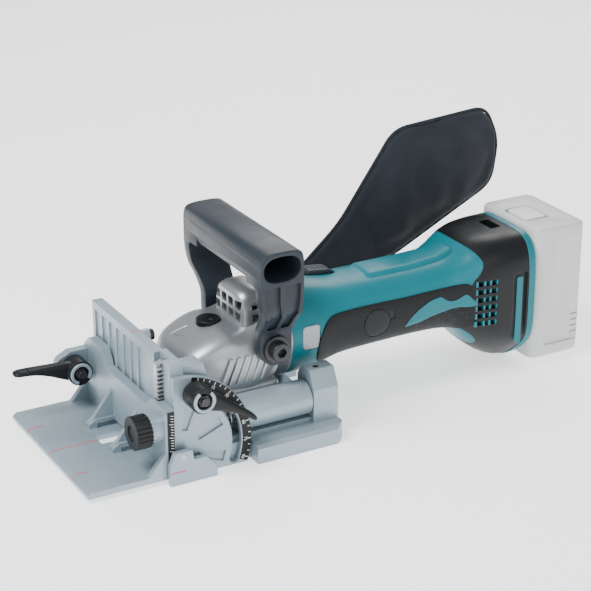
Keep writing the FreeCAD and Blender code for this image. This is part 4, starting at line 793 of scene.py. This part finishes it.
def clamp_lever(name, joint_name, low, high, degrees, body, replaced, ring_node):
    """Tapering lever whose arm points at an angle, with a ribbed tip, a hex nut and an open ring."""
    centre = Vector(pivot(joint_name))
    turn = math.radians(degrees)
    out = Vector((math.cos(turn), math.sin(turn)))
    up = Vector((-out.y, out.x))
    if up.y < 0:
        up = -up
    hub = cylinder(name, "X", centre, low, high, 9.4)
    reach = 50.0
    rings = []
    for part, wide, tall, rise in ((0.05, 5.4, 8.8, 0.0), (0.25, 5.2, 6.2, 0.8), (0.5, 4.8, 3.6, 2.0),
                                   (0.72, 4.8, 2.4, 2.2), (0.9, 5.0, 2.2, 1.4), (1.0, 4.2, 1.6, 0.6)):
        middle = centre + out * reach * part + up * rise
        ring = []
        for across, rising in soft_ring(3, 24):
            point = middle + up * tall * rising
            ring.append(((low + high) / 2 + wide * across, point.x, point.y))
        rings.append(ring)
    arm = loft("arm", rings)
    smooth = arm.modifiers.new("smooth", "SUBSURF")
    smooth.levels = 2
    apply_modifiers(arm)
    boolean(hub, arm, "UNION")
    for number in range(5):
        along = reach * 0.8 + number * 2.3
        a = centre + out * along + up * 3.2
        b = centre + out * (along + 0.9) + up * 3.2
        groove = [(a.x, a.y), (b.x, b.y), (b.x + up.x * 6, b.y + up.y * 6),
                  (a.x + up.x * 6, a.y + up.y * 6)]
        boolean(hub, prism("rib", groove, "X", low - 2, high + 2))
    boolean(hub, cylinder("well", "X", centre, high - 2.0, high + 5, 5.4))
    bevel(hub, 0.5, 2, 45)
    settle(hub, body, "black_plastic", replaced=(replaced,), angle=38)
    nut = cylinder(name + "_nut", "X", centre, high - 3, high + 0.6, 4.6, 6)
    bevel(nut, 0.4)
    boolean(nut, cylinder("socket", "X", centre, high - 1.2, high + 3, 2.2, 6))
    settle(nut, body, "black_steel")
    arc = circle(centre.x, centre.y, 8.2, 40, degrees + 150, 290)
    inner = circle(centre.x, centre.y, 5.9, 40, degrees + 150, 290)
    ring = prism(name + "_ring", arc + inner[::-1], "X", high + 0.0, high + 1.7)
    bevel(ring, 0.4)
    settle(ring, body, "bright_steel", "cast_grey", replaced=(ring_node,))


def levers():
    """The clamp levers of the fence and of the guide."""
    low, high = corners("fence_lock_lever")
    clamp_lever("fence_clamp", "fence_lever_turn", low.x, high.x, -32.0, "fence_lever",
                "fence_lock_lever", "fence_lever_ring")
    low, high = corners("guide_lock_lever")
    clamp_lever("guide_clamp", "guide_lever_turn", low.x, high.x, 172.0, "guide_lever",
                "guide_lock_lever", "guide_lever_ring")


# ---------------------------------------------------------------- printed marks

def angle_marks():
    """Black band on the quadrant with a tick every five degrees and a number every fifteen."""
    y, z = pivot("fence_tilt")
    face = SCALE_HIGH.x
    outer, inner = 56.1, 49.4
    first, sweep = -19.5, 98.0
    edge = circle(y, z, outer, 60, first, sweep) + circle(y, z, inner, 60, first, sweep)[::-1]
    band = prism("angle_band", edge, "X", face, face + 0.25)
    settle(band, "fence_plate", "black_plastic")
    ticks = []
    zero = 73.3
    for degrees in range(0, 91, 5):
        turn = math.radians(zero - degrees)
        out = Vector((math.cos(turn), math.sin(turn)))
        half = Vector((-out.y, out.x)) * 0.28
        long = 2.6 if degrees % 15 == 0 else 1.7
        start = Vector((y, z)) + out * (outer - 0.5)
        end = start - out * long
        points = [start + half, start - half, end - half, end + half]
        ticks.append(prism("tick", [(p.x, p.y) for p in points], "X", face + 0.25, face + 0.35))
    marks = join(*ticks)
    marks.name = "angle_ticks"
    settle(marks, "fence_plate", "black_plastic", "white_print")
    for degrees in range(0, 91, 15):
        turn = zero - degrees
        radius = 51.4
        text = bpy.data.curves.new("figure", "FONT")
        text.body = str(degrees)
        text.size = 3.3 * MM
        text.extrude = 0.05 * MM
        text.align_x = "CENTER"
        text.align_y = "CENTER"
        item = bpy.data.objects.new("angle_figure_%d" % degrees, text)
        bpy.context.scene.collection.objects.link(item)
        item.location = Vector((face + 0.3, y + radius * math.cos(math.radians(turn)),
                                z + radius * math.sin(math.radians(turn)))) * MM
        item.rotation_euler = (math.radians(90), 0, math.radians(90))
        item.rotation_euler.rotate_axis("Z", math.radians(turn - 90))
        text.materials.append(MATERIALS["white_print"])
        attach(item, "fence_plate")


def height_marks():
    """Slanting white ticks on the height scale at the guide's right edge."""
    low, high = corners("height_scale")
    face = high.x
    ticks = []
    for number in range(19):
        level = low.z + 1.6 + number * 2.05
        long = 3.2 if number % 5 == 0 else 2.0
        start = high.y - 0.7
        ticks.append(prism("tick", [(start, level), (start, level + 0.4), (start - long, level + 1.1),
                                    (start - long, level + 0.7)], "X", face, face + 0.1))
    marks = join(*ticks)
    marks.name = "height_ticks"
    settle(marks, "guide", "black_plastic", "white_print")


def red_lines():
    """Centre line and two short lines on the shelf, with marks on the fence and foot."""
    shelf = 8.0
    front = GUIDE_LOW.y
    edge = shelf - 2.2
    lines = []
    for x, rear in ((0.0, -27.0), (39.8, front + 13), (-39.8, front + 13)):
        half = 0.45
        lines.append(prism("line", rectangle(x - half, front + 3.1, x + half, rear), "Z", shelf,
                           shelf + 0.12))
        slope = [(front + 3.1, shelf), (front + 3.1, shelf + 0.12), (front - 0.05, edge + 0.1),
                 (front - 0.05, GUIDE_LOW.z + 0.5), (front, GUIDE_LOW.z + 0.5), (front, edge)]
        lines.append(prism("line", slope, "X", x - half, x + half))
    marks = join(*lines)
    marks.name = "shelf_lines"
    settle(marks, "guide", "cast_grey", "red_print")
    top = prism("fence_line", rectangle(-0.45, FENCE_LOW.y, 0.45, 9.0), "Z", FENCE_HIGH.z,
                FENCE_HIGH.z + 0.12)
    settle(top, "fence_plate", "cast_grey", "red_print")
    face = corners("base_frame")[1].x
    foot = prism("foot_line", rectangle(-5.0, 9.6, 6.0, 10.4), "X", face, face + 0.12)
    settle(foot, "base", "cast_grey", "red_print")


# ---------------------------------------------------------------- dust bag and battery

BAG_X = (corners("dust_bag")[0].x + corners("dust_bag")[1].x) / 2
BAG_OUTLINE = [(160, 58), (178, 46), (262, 68), (356, 114), (361, 150), (348, 179), (262, 173),
               (213, 104)]
BAG_HALF = 3.6  # half of the bag's thickness before it swells
BAG_MESH = 4.4
RIM_REACH = 3.4  # width of the band beside the seam that stays in place
MOST_SWELL = 9.0
SWELL_FRAMES = 20


def distance_to(points, y, z):
    """Shortest distance from a place to a closed outline."""
    place = Vector((y, z))
    nearest = []
    for number, point in enumerate(points):
        start, end = Vector(points[number - 1]), Vector(point)
        along = end - start
        part = max(0.0, min(1.0, (place - start).dot(along) / max(along.length_squared, 1e-9)))
        nearest.append((start + along * part - place).length)
    return min(nearest)


def dust_bag():
    """Sewn fabric bag: its rim is held by the seam and pressure swells its two sides."""
    edge = rounded(BAG_OUTLINE, 12)
    bag = prism("collector_bag", edge, "X", BAG_X - BAG_HALF, BAG_X + BAG_HALF)
    remesh = bag.modifiers.new("remesh", "REMESH")
    remesh.mode = "VOXEL"
    remesh.voxel_size = BAG_MESH * MM
    apply_modifiers(bag)
    rim = bag.vertex_groups.new(name="rim")
    held = [vertex.index for vertex in bag.data.vertices
            if distance_to(edge, vertex.co.y / MM, vertex.co.z / MM) < RIM_REACH]
    rim.add(held, 1.0, "REPLACE")
    start = [vertex.co.copy() for vertex in bag.data.vertices]
    cloth = bag.modifiers.new("cloth", "CLOTH")
    cloth.settings.quality = 6
    cloth.settings.mass = 0.2
    cloth.settings.tension_stiffness = 8
    cloth.settings.compression_stiffness = 8
    cloth.settings.bending_stiffness = 0.2
    cloth.settings.shrink_min = -0.06
    cloth.settings.vertex_group_mass = "rim"
    cloth.settings.use_pressure = True
    cloth.settings.uniform_pressure_force = 5.0
    cloth.settings.effector_weights.gravity = 0
    scene = bpy.context.scene
    for number in range(1, SWELL_FRAMES + 1):
        scene.frame_set(number)
    apply_modifiers(bag)
    limit = MOST_SWELL * MM
    for vertex, origin in zip(bag.data.vertices, start):
        move = vertex.co - origin
        if move.length > limit:
            vertex.co = origin + move.normalized() * limit
    scene.frame_set(1)
    soften = bag.modifiers.new("soften", "SMOOTH")
    soften.iterations = 2
    refine = bag.modifiers.new("refine", "SUBSURF")
    refine.levels = 1
    apply_modifiers(bag)
    settle(bag, "dust_collector", "bag_cloth", angle=80, replaced=("dust_bag",))
    seam("bag_seam", edge, 1.3)


def seam(name, points, radius):
    """Piped seam along an outline in the bag's middle plane."""
    curve = bpy.data.curves.new(name, "CURVE")
    curve.dimensions = "3D"
    curve.bevel_depth = radius * MM
    line = curve.splines.new("POLY")
    line.points.add(len(points) - 1)
    for point, (y, z) in zip(line.points, points):
        point.co = (BAG_X * MM, y * MM, z * MM, 1)
    line.use_cyclic_u = True
    item = bpy.data.objects.new(name, curve)
    bpy.context.scene.collection.objects.link(item)
    curve.materials.append(MATERIALS["bag_cloth"])
    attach(item, "dust_collector")


def battery():
    """Battery pack with side panels, finger grooves and its release button."""
    low, high = corners("battery_pack")
    wide = high.x
    case = prism("battery_case", rectangle(-wide, low.y, wide, high.y, 9), "Z", low.z, high.z)
    bevel(case, 3.0, 4)
    for side in (1, -1):
        step = rounded([(low.y + 12, low.z + 10), (high.y + 9, low.z + 10),
                        (high.y + 9, high.z - 14), (low.y + 20, high.z - 14)], 5)
        boolean(case, prism("side_step", step, "X", *outward(side, wide - 1.2, wide + 5)))
        for number in range(4):
            start = low.z + 16 + number * 5
            groove = rectangle(high.y - 10, start, high.y + 5, start + 1.4)
            boolean(case, prism("groove", groove, "X", *outward(side, wide - 2.4, wide + 5)))
    recess = prism("button_recess", rectangle(-15, low.y + 6, 15, low.y + 30, 5), "Z", high.z - 6,
                   high.z + 5)
    boolean(case, recess)
    bevel(case, 0.6, 2, 50)
    settle(case, "battery", "pale_plastic", replaced=("battery_pack",), angle=38)
    button = prism("battery_release", rectangle(-13, low.y + 8, 13, low.y + 28, 4), "Z", high.z - 2.9,
                   high.z + 0.6)
    bevel(button, 0.8)
    settle(button, "battery_release", "pale_plastic", "white_plastic",
           replaced=("battery_button",))


# ---------------------------------------------------------------- stage

CAMERA_PLACE = (1.07029, -0.46686, 0.60441)
CAMERA_AZIMUTH = math.radians(60.7)
CAMERA_ELEVATION = math.radians(22.9)
CAMERA_LENS = 110.77
FLOOR_REACH = 9000.0


def light(name, place, aim, size, power):
    """Round area light that looks at a place."""
    lamp = bpy.data.lights.new(name, "AREA")
    lamp.shape = "DISK"
    lamp.size = size
    lamp.energy = power
    item = bpy.data.objects.new(name, lamp)
    bpy.context.scene.collection.objects.link(item)
    item.location = place
    item.rotation_mode = "QUATERNION"
    item.rotation_quaternion = (Vector(aim) - Vector(place)).to_track_quat("-Z", "Y")


def stage():
    """Pale floor, three lights and a white world."""
    reach = FLOOR_REACH
    floor = mesh_object("floor", [(-reach, -reach, 0), (reach, -reach, 0), (reach, reach, 0),
                                  (-reach, reach, 0)], [(0, 1, 2, 3)])
    material = surface("floor_paint", (0.90, 0.90, 0.90, 1.0), 0.6, 0.0, 40, 0.01, 0.01, 0.1)
    shader = material.node_tree.nodes["Principled BSDF"]
    shader.inputs["Emission Color"].default_value = (1.0, 1.0, 1.0, 1.0)
    shader.inputs["Emission Strength"].default_value = 1.15
    floor.data.materials.append(material)

    middle = (0.0, 0.16, 0.06)
    light("key", (0.1, -0.7, 1.25), middle, 0.6, 24)
    light("fill", (1.5, 0.2, 0.8), middle, 1.2, 6)
    light("back", (-0.9, 0.9, 1.1), middle, 0.9, 10)
    world = bpy.data.worlds.new("studio")
    world.use_nodes = True
    background = world.node_tree.nodes["Background"]
    background.inputs["Color"].default_value = (1.0, 1.0, 1.0, 1.0)
    background.inputs["Strength"].default_value = 0.62
    bpy.context.scene.world = world


def camera():
    """Camera that looks at the tool from its front right, from above."""
    level = math.cos(CAMERA_ELEVATION)
    back = Vector((math.sin(CAMERA_AZIMUTH) * level, -math.cos(CAMERA_AZIMUTH) * level,
                   math.sin(CAMERA_ELEVATION)))
    lens = bpy.data.cameras.new("camera")
    lens.sensor_width = 36.0
    lens.lens = CAMERA_LENS
    lens.clip_end = 30.0
    item = bpy.data.objects.new("camera", lens)
    bpy.context.scene.collection.objects.link(item)
    item.location = CAMERA_PLACE
    item.rotation_mode = "QUATERNION"
    item.rotation_quaternion = (-back).to_track_quat("-Z", "Y")
    bpy.context.scene.camera = item


def cad_finishes():
    """Procedural finishes for the CAD nodes that are shown as they are."""
    looks = {"fence_lock_bolt": "black_steel", "guide_lock_bolt": "black_steel"}
    for name, item in frame["nodes"].items():
        item.data.materials.clear()
        item.data.materials.append(MATERIALS[looks.get(name, SLOT_OF[name])])


cad_finishes()
motor_shell()
depth_bracket()
rear_shell()
for side, name in SIDES:
    grip_side(side, name)
    vent_side(side, name)
slide_switch()
seat_rim()
gear_case()
sliding_sleeves()
vent_hood()
lock_cap()
front_handle()
handle_bolts()
levers()
angle_marks()
height_marks()
red_lines()
dust_bag()
battery()
stage()
camera()
